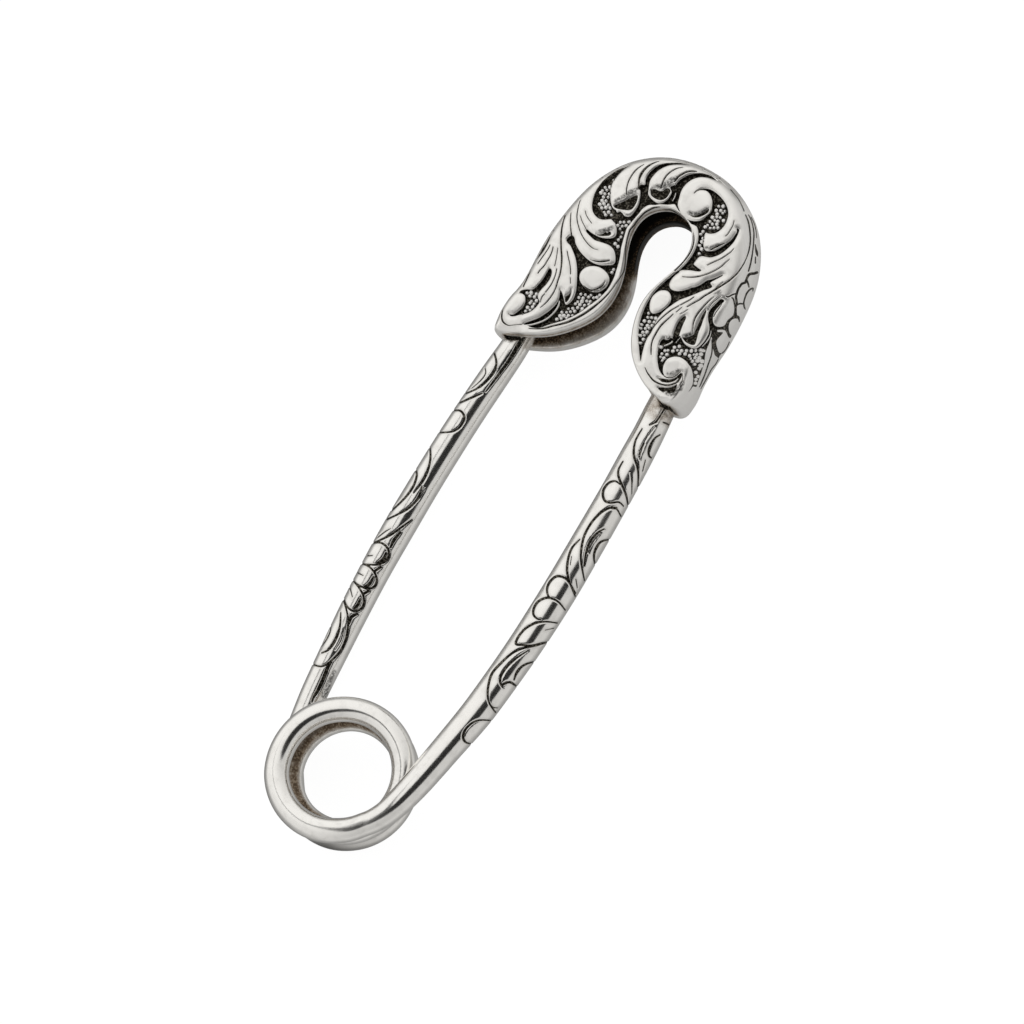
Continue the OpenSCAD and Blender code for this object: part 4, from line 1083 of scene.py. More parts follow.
    def towards_eye(self, rail: Array) -> Array:
        """How squarely the wall along a rail faces the eye, seen from above, from -1 to 1."""
        t = np.gradient(rail, axis=0)
        return (EYE_SIDE[0] * -t[:, 1] + EYE_SIDE[1] * t[:, 0]) / np.linalg.norm(t, axis=1)

    def carve(
        self, points: Array, profile: Array, where: dict[str, slice], w: Array,
        rails: tuple[Array, Array], tip: Array, facing: Array,
    ) -> Relief:
        """The relief over the face and the side.

        The face's drawing is carried along the line of sight, and gets shallow down the wall. It stops at the
        foot and on walls that the sight line doesn't meet. The outer walls among those have rows of scales
        instead, in their own length and height. The side that shows is satin where it has no painted shade of
        dark specks.

        Args:
            points: The plain surface, rows by columns.
            profile: Its distance from the inner rail and its height.
            where: The rows of each part.
            w: Width at each column.
            rails: The inner and the outer rail.
            tip: Distance of each column from the nearer end.
            facing: Cosine between the plain surface's normal and the line of sight.

        Returns:
            The relief over all rows; plain outside the face and the shoulder.
        """
        out = Relief.plain(points.shape[:2])
        rows = slice(where["face"].start, where["shoulder"].stop)
        d, z = profile[rows, :, 0], points[rows, :, 2]
        inner_met, outer_met = (self.towards_eye(rail) for rail in rails)
        carving = face_carving()
        drawn = carving.at(*on_face_plane(points[rows]))
        run = np.concatenate([[0.0], np.cumsum(np.linalg.norm(np.diff(rails[1], axis=0), axis=1))])
        pitch = run[-1] / round(run[-1] / self.scale_length)
        scales = wall_carving(pitch).at(np.broadcast_to(run % pitch, z.shape), z)

        turned_away = 1 - ease((outer_met + 0.25) / 0.3)
        outer_wall = ease((self.scale_z - z) / 0.3) * (d > 0.6 * w)
        hidden = ease((outer_wall * turned_away - 0.35) / 0.3)
        unmet = np.maximum(ease((self.foot_z - z) / 0.5), ease(-facing[rows] / 0.06))
        near_tip = 1 - ease((tip - 1.2) / 1.2)
        inside = ease((d - 0.08) / 0.08)
        shallow = 0.2 + 0.8 * ease((z - 4.3) / 0.8)

        height = drawn.height * shallow * (1 - hidden) * (1 - unmet)
        height += scales.height * hidden * (1 - near_tip)
        out.height[rows] = height * inside
        drawn_off = CLEAR * (hidden + unmet)
        scales_off = CLEAR * (1 - hidden + near_tip)
        rim_off = CLEAR * (1 - inside) * (inner_met > -0.05)
        out.recess[rows] = np.minimum(drawn.recess + drawn_off, scales.recess + scales_off) + rim_off
        out.bead[rows] = drawn.bead - drawn_off - rim_off
        # Painted shade on the leaves, as dark specks from the face's drawing.
        oxide_and_shade = drawn.oxide_and_shade * inside * (1 - hidden)
        satin = ease((self.satin_z - z) / 0.45) * ease((d / w - 0.5) / 0.25) * ease((outer_met + 0.05) / 0.3)
        satin = np.maximum(satin, 1 - ease((tip - 0.1) / 0.5))
        out.oxide_and_shade[rows] = oxide_and_shade - satin * (1 - np.clip(3 * oxide_and_shade, 0, 1))

        met = ease((0.1 - inner_met) / 0.2)
        for name in ("front_edge", "front_lip"):
            lip = carving.at(*on_face_plane(points[where[name]]))
            out.recess[where[name]] = lip.recess + CLEAR * (1 - met)
            # Painted shade of dark specks, carried on to the lips.
            out.oxide_and_shade[where[name]] = lip.oxide_and_shade * met
        return out

    def tarnish_and_shade(self, profile: Array, where: dict[str, slice], points: Array) -> Array:
        """Brown tarnish in the hollow and on the lips; painted shade makes the hollow darker further in under
        the face, and black in the keyhole at the slot's upper end.

        Args:
            profile: Distance from the inner rail and height, rows by columns.
            where: The rows of each part.
            points: The carved surface.

        Returns:
            From 0 on bright metal to 1 deep in the hollow, and more where painted shade makes it black.
        """
        tarnish_and_shade = np.zeros(profile.shape[:2])
        d, z = profile[..., 0], profile[..., 1]
        # Painted shade: the hollow gets darker further in under the face, and black in the keyhole.
        keyhole = 1.3 * ease((points[..., 1] - 47.2) / 1.6)
        for name in ("floor", "hollow_low", "hollow_high", "ceiling"):
            hollow = where[name]
            tarnish_and_shade[hollow] = 0.45 + 0.4 * ease((d[hollow] - 0.12) / 0.45) + 0.5 * keyhole[hollow]
        tarnish_and_shade[where["floor_edge"]] = 0.4 + keyhole[where["floor_edge"]]
        tarnish_and_shade[where["ceiling_edge"]] = 0.3
        lip = where["front_lip"]
        tarnish_and_shade[lip] = 0.62 * np.exp(-(((z[lip] - 4.7) / 0.33) ** 2))
        back = where["back_lip"]
        tarnish_and_shade[back] = 0.08 + 0.3 * ease((z[back] - 0.5) / 0.6) + keyhole[back]
        tarnish_and_shade[where["back_edge"]] = 0.5 * keyhole[where["back_edge"]]
        return tarnish_and_shade


@dataclass
class Wire:
    """The pin's wire from cap to cap: back arm, spring and pin arm, as three lengths of one path."""

    coil_radius: float = 5.27
    coil_taper: float = 0.37
    coil_centre: tuple[float, float] = (-0.07, 0.08)
    coil_wire: float = 0.07
    wire_radius: float = 0.97
    coil_pitch: float = 2.12
    # Rows: turn in degrees, how far the coil wanders outwards there.
    coil_wander: tuple[Row, ...] = (
        (30, -0.04), (61, -0.16), (100, -0.05), (148, 0.1), (200, 0.0), (241, -0.1), (328, -0.12),
        (390, -0.16), (450, -0.22), (520, -0.1), (600, -0.04), (700, -0.06), (781, -0.2), (870, -0.1),
    )
    cap_z: float = 2.7
    turn_start: float = 30.0
    turn_end: float = 870.0
    # Height in the drawing where the arms end and the spring begins.
    seam_y: float = 2.6
    # Side of the lowest turn that gets painted shade, a dark grey, near the floor.
    low_turn_shade_side: tuple[float, float] = (0.67, -0.74)
    arm_step: float = 0.056
    arm_sides: int = 104
    coil_step: float = 0.115
    coil_sides: int = 52
    # Rows: x, y, share of the way from the coil's height to the cap's, radius above the wire's.
    back_line: tuple[Row, ...] = (
        (4.54, -2.6, 0, 0), (5.31, -1.4, -0.03, 0.05), (5.86, 0, -0.05, 0.13), (6.32, 2, -0.03, 0.21),
        (6.65, 4, 0.02, 0.25), (6.94, 6, 0.08, 0.28), (7.24, 8, 0.14, 0.33), (7.48, 10, 0.2, 0.37),
        (7.67, 13, 0.29, 0.39), (7.79, 16, 0.38, 0.41), (7.82, 19, 0.47, 0.44), (7.79, 22, 0.55, 0.45),
        (7.67, 25, 0.64, 0.44), (7.53, 28, 0.73, 0.42), (7.37, 31, 0.82, 0.39), (7.16, 34, 0.9, 0.38),
        (6.96, 36.5, 0.97, 0.32), (6.75, 38.5, 1, 0.28), (6.6, 40.2, 1, 0.2), (6.45, 42, 1, 0.12),
        (6.35, 43.5, 1, 0),
    )
    pin_line: tuple[Row, ...] = (
        (-4.5, -2.6, 0, 0), (-5.33, -1.45, 0.01, 0.03), (-5.94, -0.1, 0.02, 0.09), (-6.34, 1.4, 0.05, 0.11),
        (-6.64, 3.2, 0.08, 0.13), (-6.89, 5, 0.11, 0.15), (-7.19, 8.5, 0.18, 0.21), (-7.45, 12, 0.28, 0.27),
        (-7.65, 16, 0.39, 0.31), (-7.71, 20, 0.5, 0.35), (-7.67, 24, 0.62, 0.33), (-7.55, 28, 0.74, 0.32),
        (-7.37, 31.5, 0.84, 0.3), (-7.12, 35, 0.93, 0.28), (-6.93, 37.5, 0.99, 0.22),
        (-6.98, 39.5, 1, 0.15), (-7.3, 41.5, 1, -0.15), (-7.75, 43.3, 1, -0.5), (-8.05, 44.4, 1, -0.85),
    )

    @property
    def top_z(self) -> float:
        """Height of the wire's centre line at the top of the coil."""
        return self.wire_radius + self.coil_pitch * (self.turn_end - self.turn_start) / 360

    def arm(self, rows: tuple[Row, ...], z: float) -> Array:
        """One arm, from the coil into the cap.

        Args:
            rows: The arm's table.
            z: Height of the coil where the arm leaves it.

        Returns:
            Fine rows of x, y, z and radius.
        """
        fine = curve_through(np.array(rows, float), np.linspace(0, 1, 1200))
        fine[:, 2] = z + (self.cap_z - z) * fine[:, 2]
        fine[:, 3] += self.wire_radius
        return fine

    def path(self) -> Array:
        """The whole wire, from the back arm's hidden end round the coil to the pin arm's hidden end.

        The coil is a helix: x = R cos t, y = -R sin t, and z falls by the pitch in each turn. R shrinks by
        the taper from the first turn to the middle of the last, and grows back at its end.

        Returns:
            Evenly spaced rows of x, y, z, radius and direction.
        """
        turn = np.linspace(self.turn_start, self.turn_end, 2600)[1:-1]
        t = np.radians(turn)
        z = self.top_z - self.coil_pitch * (t - t[0]) / (2 * math.pi)
        inner = ease((turn - 270) / 240) * (1 - ease((turn - 690) / 170))
        turns, steps = np.array(self.coil_wander).T
        r = self.coil_radius - self.coil_taper * inner + np.interp(turn, turns, steps)
        stout = self.coil_wire * ease((turn - self.turn_start) / 40) * ease((self.turn_end - turn) / 40)
        x, y = self.coil_centre[0] + r * np.cos(t), self.coil_centre[1] - r * np.sin(t)
        helix = np.stack([x, y, z, self.wire_radius + stout], 1)
        back = self.arm(self.back_line, self.top_z)[::-1]
        pin = self.arm(self.pin_line, self.wire_radius)
        whole = np.concatenate([back, helix, pin])
        place = even_steps(whole[:, :3], 6000)
        smooth = fair(rows_at(whole, place), 300)
        return np.column_stack([smooth, np.gradient(smooth[:, :3], axis=0)])

    def tube(self, path: Array, step: float, sides: int) -> tuple[Array, Array, Array]:
        """Rings round a length of the path.

        Each ring lies square to the path, with its first direction level: point k is the centre plus the
        radius times cos(turn) level and sin(turn) up. The directions come with the path, so that two lengths
        meet in the same ring.

        Args:
            path: Rows of x, y, z, radius and the path's direction.
            step: Distance between rings.
            sides: Points in a ring.

        Returns:
            The points and outward directions, rings by sides by 3, and the centre rows.
        """
        legs = np.linalg.norm(np.diff(path[:, :3], axis=0), axis=1).sum()
        rows = rows_at(path, even_steps(path[:, :3], max(3, round(legs / step))))
        level = np.cross(rows[:, 4:], [0.0, 0.0, 1.0])
        level /= np.linalg.norm(level, axis=1, keepdims=True)
        up = np.cross(level, rows[:, 4:])
        up /= np.linalg.norm(up, axis=1, keepdims=True)
        turn = 2 * math.pi * np.arange(sides) / sides
        out = np.cos(turn)[None, :, None] * level[:, None] + np.sin(turn)[None, :, None] * up[:, None]
        return rows[:, None, :3] + rows[:, None, 3:4] * out, out, rows

    def close(self, points: Array, relief: Relief, tarnish_and_shade: Array) -> Patch:
        """A tube as a closed patch.

        Args:
            points: Rings by sides by 3.
            relief: Its carving.
            tarnish_and_shade: Its tarnish and painted shade.

        Returns:
            The patch, with a flat face at each end.
        """
        rings, sides = points.shape[:2]
        ends = [tuple(range(sides - 1, -1, -1)), tuple(range((rings - 1) * sides, rings * sides))]
        return Patch(points.reshape(-1, 3), grid_faces(sides, rings), ends, relief.fields(tarnish_and_shade))

    def engraved(self, path: Array, carving: Carving) -> Patch:
        """An arm with its engraving.

        The drawing's coordinates are the distance along the pin and the offset from the arm's centre line,
        both read on the plane through the arm that faces the line of sight.

        Args:
            path: Rows of x, y, z and radius of the arm.
            carving: The arm's design.

        Returns:
            The closed arm.
        """
        points, out, rows = self.tube(path, self.arm_step, self.arm_sides)
        below = rows[:, None, 2] - points[..., 2]
        y = points[..., 1] + SIGHT_SHIFT[1] * below
        order = np.argsort(rows[:, 1])
        x = points[..., 0] + SIGHT_SHIFT[0] * below - np.interp(y, rows[order, 1], rows[order, 0])
        relief = carving.at(y, x)
        by_cap = 0.42 * ease((points[..., 1] - 37.0) / 1.2)
        by_coil = 0.4 * ease((6.0 - y) / 2.2) * ease((x - 0.3) / 0.4)
        is_pin = rows[0, 0] < 0
        return self.close(points + out * relief.height[..., None], relief, by_cap + by_coil * is_pin)

    def spring(self, path: Array) -> Patch:
        """The plain coil with the roots of both arms.

        It is brown where its turns lie on each other and inside the lower turns. The outer side of its lowest
        turn,
        near the floor, has painted shade: a little brown all round, and dark grey on its front, where the
        tarnish field is below 0.

        Args:
            path: Rows of the path, from seam to seam.

        Returns:
            The closed spring.
        """
        points, out, rows = self.tube(path, self.coil_step, self.coil_sides)
        away = np.linalg.norm(rows[:, :2], axis=1)
        radial = rows[:, :2] / np.maximum(away, 1e-6)[:, None]
        inward = -(out[..., 0] * radial[:, None, 0] + out[..., 1] * radial[:, None, 1])
        in_coil = ease((6.2 - away) / 0.8)[:, None]
        has_above = ease((self.top_z - self.coil_pitch + 0.5 - rows[:, 2]) / 0.6)[:, None]
        has_below = ease((rows[:, 2] - self.wire_radius - self.coil_pitch + 0.5) / 0.6)[:, None]
        crevice = has_above * ease((out[..., 2] - 0.35) / 0.5) + has_below * ease((-out[..., 2] - 0.35) / 0.5)
        lowest = ease((2.0 - rows[:, 2]) / 0.8)[:, None]
        # Painted shade: the outer side of the lowest turn, near the floor, is a little brown.
        under = lowest * ease(-inward / 0.6)
        tarnish_and_shade = in_coil * np.clip(0.6 * crevice + 0.2 * has_above * ease(inward / 0.8) + 0.15 * under, 0, 1)
        # Painted shade: the front of the lowest turn near the floor is dark grey, given as tarnish below 0.
        front = ease((radial @ np.array(self.low_turn_shade_side) - 0.4) / 0.5)[:, None]
        low_turn_shade = front * in_coil * lowest * ease((0.35 - inward) / 0.5)
        return self.close(points, Relief.plain(points.shape[:2]), tarnish_and_shade * (1 - low_turn_shade) - low_turn_shade)

    def build(self) -> dict[str, Patch]:
        """The wire cut where it crosses the seam's height.

        Returns:
            The three lengths by name.
        """
        path = self.path()
        reach = np.flatnonzero(path[:, 1] > self.seam_y)
        gaps = np.flatnonzero(np.diff(reach) > 1)
        back_seam, pin_seam = reach[gaps[0]], reach[gaps[-1] + 1]
        return {
            "back_arm_wire": self.engraved(path[: back_seam + 1], back_engraving()),
            "spring_coil": self.spring(path[back_seam : pin_seam + 1]),
            "pin_arm_wire": self.engraved(path[pin_seam:], pin_engraving()),
        }


def arm_carving(
    bold: tuple[tuple[Row, ...], ...],
    fine: tuple[tuple[Row, ...], ...],
    dark: tuple[tuple[Row, ...], ...],
    groove: tuple[tuple[Row, ...], ...],
    stain: tuple[tuple[Row, ...], ...],
) -> Carving:
    """An arm's design.

    Args:
        bold: Bold lines, rows of y and offset to the right.
        fine: Fine lines, in the same rows.
        dark: Small sunk corners, in the same rows.
        groove: Worn grooves, with the half width as a third number.
        stain: Specks of oxide left on the metal, with the half width too.

    Returns:
        The carving in the arm's own coordinates.
    """

    def tapered(rows: tuple[Row, ...], half: float) -> tuple[Row, ...]:
        """The rows with a half width that is full in the middle and thins to both ends."""
        turn = [math.pi * (i + 0.35) / (len(rows) - 0.3) for i in range(len(rows))]
        return tuple((y, x, half * (0.45 + 0.55 * math.sin(t))) for (y, x), t in zip(rows, turn))

    marks = marks_of(Cut.LINE, *groove) + marks_of(Cut.OXIDE_AND_SHADE, *stain)
    for half, lines in ((0.115, bold), (0.055, fine), (0.16, dark)):
        marks += marks_of(Cut.LINE, *(tapered(rows, half) for rows in lines))
    return Carving(marks, line_depth=0.065, swell=0.0, rounding=0.0)


def pin_engraving() -> Carving:
    """Leaves and three round scales along the pin arm. Rows: y, offset to the right."""
    bold = (
        ((36.32, -1.2), (35.72, -0.54), (34.82, -0.23), (33.38, -0.5), (32.33, -1.25)),
        ((32.94, -0.05), (32.21, -0.62), (31.4, -1.25)),
        ((30.6, -1.3), (30.82, -0.84), (30.62, -0.29), (30.22, -0.06), (29.54, -0.07), (28.95, -0.45),
         (28.45, -1.3)),
        ((26.9, -1.3), (26.12, -0.74), (25.13, -0.38), (24.15, -0.29), (23.04, -0.45)),
        ((24.77, -1.35), (24.35, -1.0), (23.45, -0.78), (22.37, -0.89), (20.9, -1.35)),
        ((23.82, -0.08), (22.75, 0.11), (21.55, -0.23), (20.1, -1.3)),
        ((21.06, 0.64), (19.89, 0.08), (18.98, -0.41), (17.8, -1.35)),
        ((17.81, -1.35), (18.13, -0.82), (18.12, -0.18), (17.75, 0.35), (17.11, 0.48), (16.59, 0.1),
         (16.3, -0.3), (15.85, -1.35)),
        ((15.9, -1.35), (15.96, -0.57), (15.7, 0.16), (15.28, 0.57), (14.77, 0.62), (14.4, 0.31),
         (14.25, -0.18), (14.22, -0.85), (14.3, -1.3)),
        ((14.3, -1.3), (14.1, -0.67), (13.79, -0.04), (13.37, 0.37), (12.81, 0.52), (12.37, 0.3),
         (12.14, -0.14), (12.24, -0.77), (12.6, -1.3)),
        ((12.53, -1.3), (11.91, -0.59), (11.32, -0.1), (10.56, 0.26), (9.73, 0.48), (8.68, 0.47),
         (7.52, 0.05), (6.9, -0.45), (6.7, -1.2)),
        ((11.49, -1.0), (10.75, -0.6), (10.02, -0.38), (9.1, -0.34), (8.37, -0.52), (7.89, -0.95)),
    )
    fine = (
        ((34.87, -1.13), (34.51, -0.81), (33.83, -0.8), (32.9, -1.1)),
        ((23.83, 0.21), (22.98, 0.27), (22.12, 0.03)),
        ((19.58, -0.6), (19.08, -0.93), (18.43, -1.23)),
        ((16.69, -1.23), (16.9, -0.84)),
        ((15.06, -1.27), (15.09, -0.71)),
        ((13.67, -1.29), (13.13, -0.7)),
        ((10.15, -1.25), (9.65, -1.1), (9.02, -1.1), (8.44, -1.19)),
        ((10.5, -0.06), (9.54, 0.12), (8.65, 0.02)),
    )
    dark = (
        ((17.62, 0.11), (17.06, 0.16), (16.58, -0.13)),
        ((15.39, 0.16), (14.73, 0.13), (14.38, -0.14)),
        ((13.29, 0.02), (12.78, 0.07), (12.4, -0.06)),
        ((18.22, 0.22), (18.9, 0.16), (19.69, 0.32)),
        ((15.95, 0.05), (16.4, 0.3)),
        ((13.84, 0.1), (14.19, 0.35)),
        ((11.1, 0.12), (11.68, 0.05), (12.1, 0.4)),
    )
    groove = (
        ((38.79, 0.34, 0.1), (38.0, 0.21, 0.2), (37.15, 0.25, 0.19), (36.37, 0.28, 0.16),
         (35.66, 0.27, 0.15), (34.85, 0.23, 0.13), (34.03, 0.19, 0.11), (33.21, 0.14, 0.07)),
        ((37.98, -1.47, 0.07), (38.03, -1.1, 0.13), (38.16, -0.58, 0.16), (38.4, -0.03, 0.16)),
        ((7.62, 0.18, 0.11), (6.96, 0.13, 0.17), (6.26, 0.2, 0.18), (5.46, 0.23, 0.18), (4.91, 0.21, 0.15),
         (4.43, 0.14, 0.11), (3.99, 0.15, 0.07)),
    )
    stain = (
        ((37.78, -0.95, 0.08), (37.94, -0.55, 0.12)),
        ((37.06, -0.09, 0.08), (36.1, -0.03, 0.08), (35.21, -0.02, 0.08)),
        ((7.03, 0.8, 0.07), (6.3, 0.79, 0.1), (5.6, 0.85, 0.16), (4.98, 0.88, 0.21)),
    )
    return arm_carving(bold, fine, dark, groove, stain)


def back_engraving() -> Carving:
    """Scrolls, leaves and two round scales along the back arm. Rows: y, offset to the right."""
    bold = (
        ((36.98, 0.94), (36.54, 0.67), (35.9, 0.59), (35.35, 0.7), (35.01, 0.95), (34.97, 1.22)),
        ((36.7, -0.73), (35.66, -0.78), (34.84, -0.51), (34.3, -0.15), (33.78, 0.45), (33.18, 0.92),
         (32.3, 1.4)),
        ((33.56, -0.86), (32.83, -0.88), (32.27, -0.56), (31.71, 0.19), (31.21, 0.85), (30.6, 1.4)),
        ((31.77, -0.15), (31.82, -0.62), (31.47, -1.05), (30.85, -1.19), (30.33, -1.01), (29.97, -0.55),
         (30.09, 0.01), (30.44, 0.55), (30.34, 1.1)),
        ((29.5, 1.35), (29.88, 0.63), (29.67, 0.13), (28.99, -0.34), (27.98, -0.63), (26.75, -0.64),
         (25.7, -0.32), (24.75, 0.19), (24.0, 0.83), (23.4, 1.4)),
        ((27.91, 0.6), (27.35, 0.25), (26.4, 0.07), (25.42, 0.29), (24.42, 0.7)),
        ((27.35, 1.45), (26.86, 0.92), (26.2, 0.82), (25.57, 1.01), (25.0, 1.45)),
        ((26.18, -0.79), (25.32, -1.02), (24.42, -0.86), (23.45, -0.4), (22.73, 0.29), (21.9, 1.4)),
        ((22.13, 1.3), (22.57, 0.48), (22.8, -0.21), (22.61, -0.92), (21.93, -1.19), (21.31, -1.08),
         (20.86, -0.66), (20.78, -0.19)),
        ((20.5, 1.3), (20.81, 0.48), (20.83, -0.22), (20.6, -0.76), (20.03, -1.16), (19.36, -1.15),
         (18.91, -0.86), (18.78, -0.36), (18.89, -0.09)),
        ((19.26, 1.3), (18.94, 0.42), (18.39, -0.31), (17.64, -0.79), (16.81, -0.93), (16.14, -0.77),
         (16.33, -0.2), (16.61, 0.43), (17.16, 1.04), (17.5, 1.45)),
        ((17.38, 1.4), (16.68, 0.67), (16.07, -0.04), (15.27, -0.59), (14.12, -0.89), (13.08, -1.01),
         (12.14, -0.68), (11.31, -0.16), (10.8, 0.41), (10.4, 1.3)),
        ((16.15, 0.46), (15.2, 0.01), (14.2, -0.26), (13.25, -0.23), (12.72, 0.07), (12.48, 0.52)),
        ((12.79, 0.44), (13.16, 0.72), (13.11, 1.35)),
        ((15.52, 1.4), (14.93, 0.88), (14.2, 0.7), (13.48, 0.91)),
        ((9.62, 1.35), (9.23, 0.55), (8.64, 0.18), (7.89, 0.15), (7.33, 0.45), (7.1, 0.91), (7.17, 1.35)),
    )
    fine = (
        ((37.38, 0.23), (36.3, -0.01), (35.21, -0.03), (34.46, 0.14)),
        ((35.73, 0.05), (34.83, 0.16), (34.33, 0.36)),
        ((34.58, 0.82), (33.64, 1.09)),
        ((33.03, 0.19), (32.45, 0.67), (31.54, 1.23)),
        ((29.91, 0.24), (29.47, -0.13), (28.79, -0.48)),
        ((27.51, 0.53), (26.41, 0.31), (25.52, 0.47)),
        ((24.64, -0.68), (23.95, -0.39)),
        ((23.17, 0.65), (22.6, 1.17)),
        ((18.75, 1.3), (18.28, 0.72)),
        ((10.8, 0.41), (10.69, 0.83), (10.82, 1.22)),
        ((37.24, -0.26), (37.78, 0.21)),
    )
    dark = (((13.0, 0.5), (12.75, 0.35)), ((29.75, 0.3), (29.9, 0.6)))
    groove = (
        ((39.66, -0.76, 0.07), (39.41, -0.24, 0.12), (39.21, 0.25, 0.16), (39.26, 0.62, 0.13),
         (39.2, 1.04, 0.09), (39.1, 1.48, 0.06)),
        ((39.09, -0.17, 0.06), (39.21, 0.25, 0.1), (38.84, 0.25, 0.09), (38.36, 0.21, 0.08),
         (37.8, 0.11, 0.08), (37.46, -0.1, 0.06), (37.23, -0.28, 0.04)),
        ((38.01, 0.69, 0.06), (38.05, 0.96, 0.08), (38.06, 1.24, 0.07)),
    )
    stain = (
        ((39.41, -0.44, 0.08), (39.2, -0.13, 0.12)),
        ((38.97, 0.68, 0.08), (38.84, 1.14, 0.08)),
        ((38.57, 0.98, 0.07), (38.7, 0.52, 0.07)),
    )
    return arm_carving(bold, fine, dark, groove, stain)


class Nodes:
    """A node tree that is filled from empty. What goes into a node is a socket or a plain value."""

    def __init__(self, tree: bpy.types.NodeTree) -> None:
        """Takes a tree and clears it."""
        tree.nodes.clear()
        self.tree = tree

    def add(self, kind: str, **settings: object) -> bpy.types.Node:
        """A new node.

        Args:
            kind: Its type.
            settings: Values for its properties.

        Returns:
            The node.
        """
        made = self.tree.nodes.new(kind)
        for key, value in settings.items():
            setattr(made, key, value)
        return made

    def feed(self, socket: Socket, value: object) -> None:
        """Links the socket to the value where that is a socket, and else sets it."""
        if isinstance(value, bpy.types.NodeSocket):
            self.tree.links.new(value, socket)
        else:
            socket.default_value = value

    def math(self, operation: str, *values: object) -> Socket:
        """What a math node makes of the values."""
        made = self.add("ShaderNodeMath", operation=operation)
        for socket, value in zip(made.inputs, values):
            self.feed(socket, value)
        return made.outputs[0]

    def plus(self, a: object, b: object) -> Socket:
        """Their sum."""
        return self.math("ADD", a, b)

    def minus(self, a: object, b: object) -> Socket:
        """Their difference."""
        return self.math("SUBTRACT", a, b)

    def times(self, a: object, b: object) -> Socket:
        """Their product."""
        return self.math("MULTIPLY", a, b)

    def most(self, a: object, b: object) -> Socket:
        """The larger of the two."""
        return self.math("MAXIMUM", a, b)

    def linear(self, value: object, factor: object, shift: object) -> Socket:
        """The value times the factor, plus the shift."""
        return self.math("MULTIPLY_ADD", value, factor, shift)

    def ramp(
        self, value: object, low: float, high: float, to_low: float = 0.0, to_high: float = 1.0
    ) -> Socket:
        """A smooth step.

        Args:
            value: What it depends on.
            low: Where it starts.
            high: Where it ends, which may be below its start.
            to_low: Its result at the start and before it.
            to_high: Its result at the end and past it.

        Returns:
            The result.
        """
        made = self.add("ShaderNodeMapRange", interpolation_type="SMOOTHSTEP")
        for socket, given in zip(made.inputs, (value, low, high, to_low, to_high)):
            self.feed(socket, given)
        return made.outputs[0]

    def mix(self, factor: object, a: object, b: object) -> Socket:
        """A colour between a, where the factor is 0, and b, where it is 1."""
        made = self.add("ShaderNodeMix", data_type="RGBA")
        for label, value in (("Factor_Float", factor), ("A_Color", a), ("B_Color", b)):
            self.feed(next(s for s in made.inputs if s.identifier == label), value)
        return next(s for s in made.outputs if s.identifier == "Result_Color")

    def between(self, factor: object, a: bpy.types.Node, b: bpy.types.Node) -> Socket:
        """A blend of two shader nodes: a where the factor is 0, and b where it is 1."""
        made = self.add("ShaderNodeMixShader")
        for socket, value in zip(made.inputs, (factor, a.outputs[0], b.outputs[0])):
            self.feed(socket, value)
        return made.outputs[0]

    def noise(self, scale: float, detail: float, stretch: Row | None = None) -> Socket:
        """Noise over Object coordinates.

        Args:
            scale: Its scale.
            detail: Its number of octaves.
            stretch: Factors for the three coordinates, if they differ.

        Returns:
            Its value, about 0.5 on average.
        """
        made = self.add("ShaderNodeTexNoise")
        made.inputs["Scale"].default_value = scale
        made.inputs["Detail"].default_value = detail
        place = self.add("ShaderNodeTexCoord").outputs["Object"]
        if stretch:
            mapping = self.add("ShaderNodeMapping")
            mapping.inputs["Scale"].default_value = stretch
            self.feed(mapping.inputs["Vector"], place)
            place = mapping.outputs[0]
        self.feed(made.inputs["Vector"], place)
        return made.outputs["Fac"]


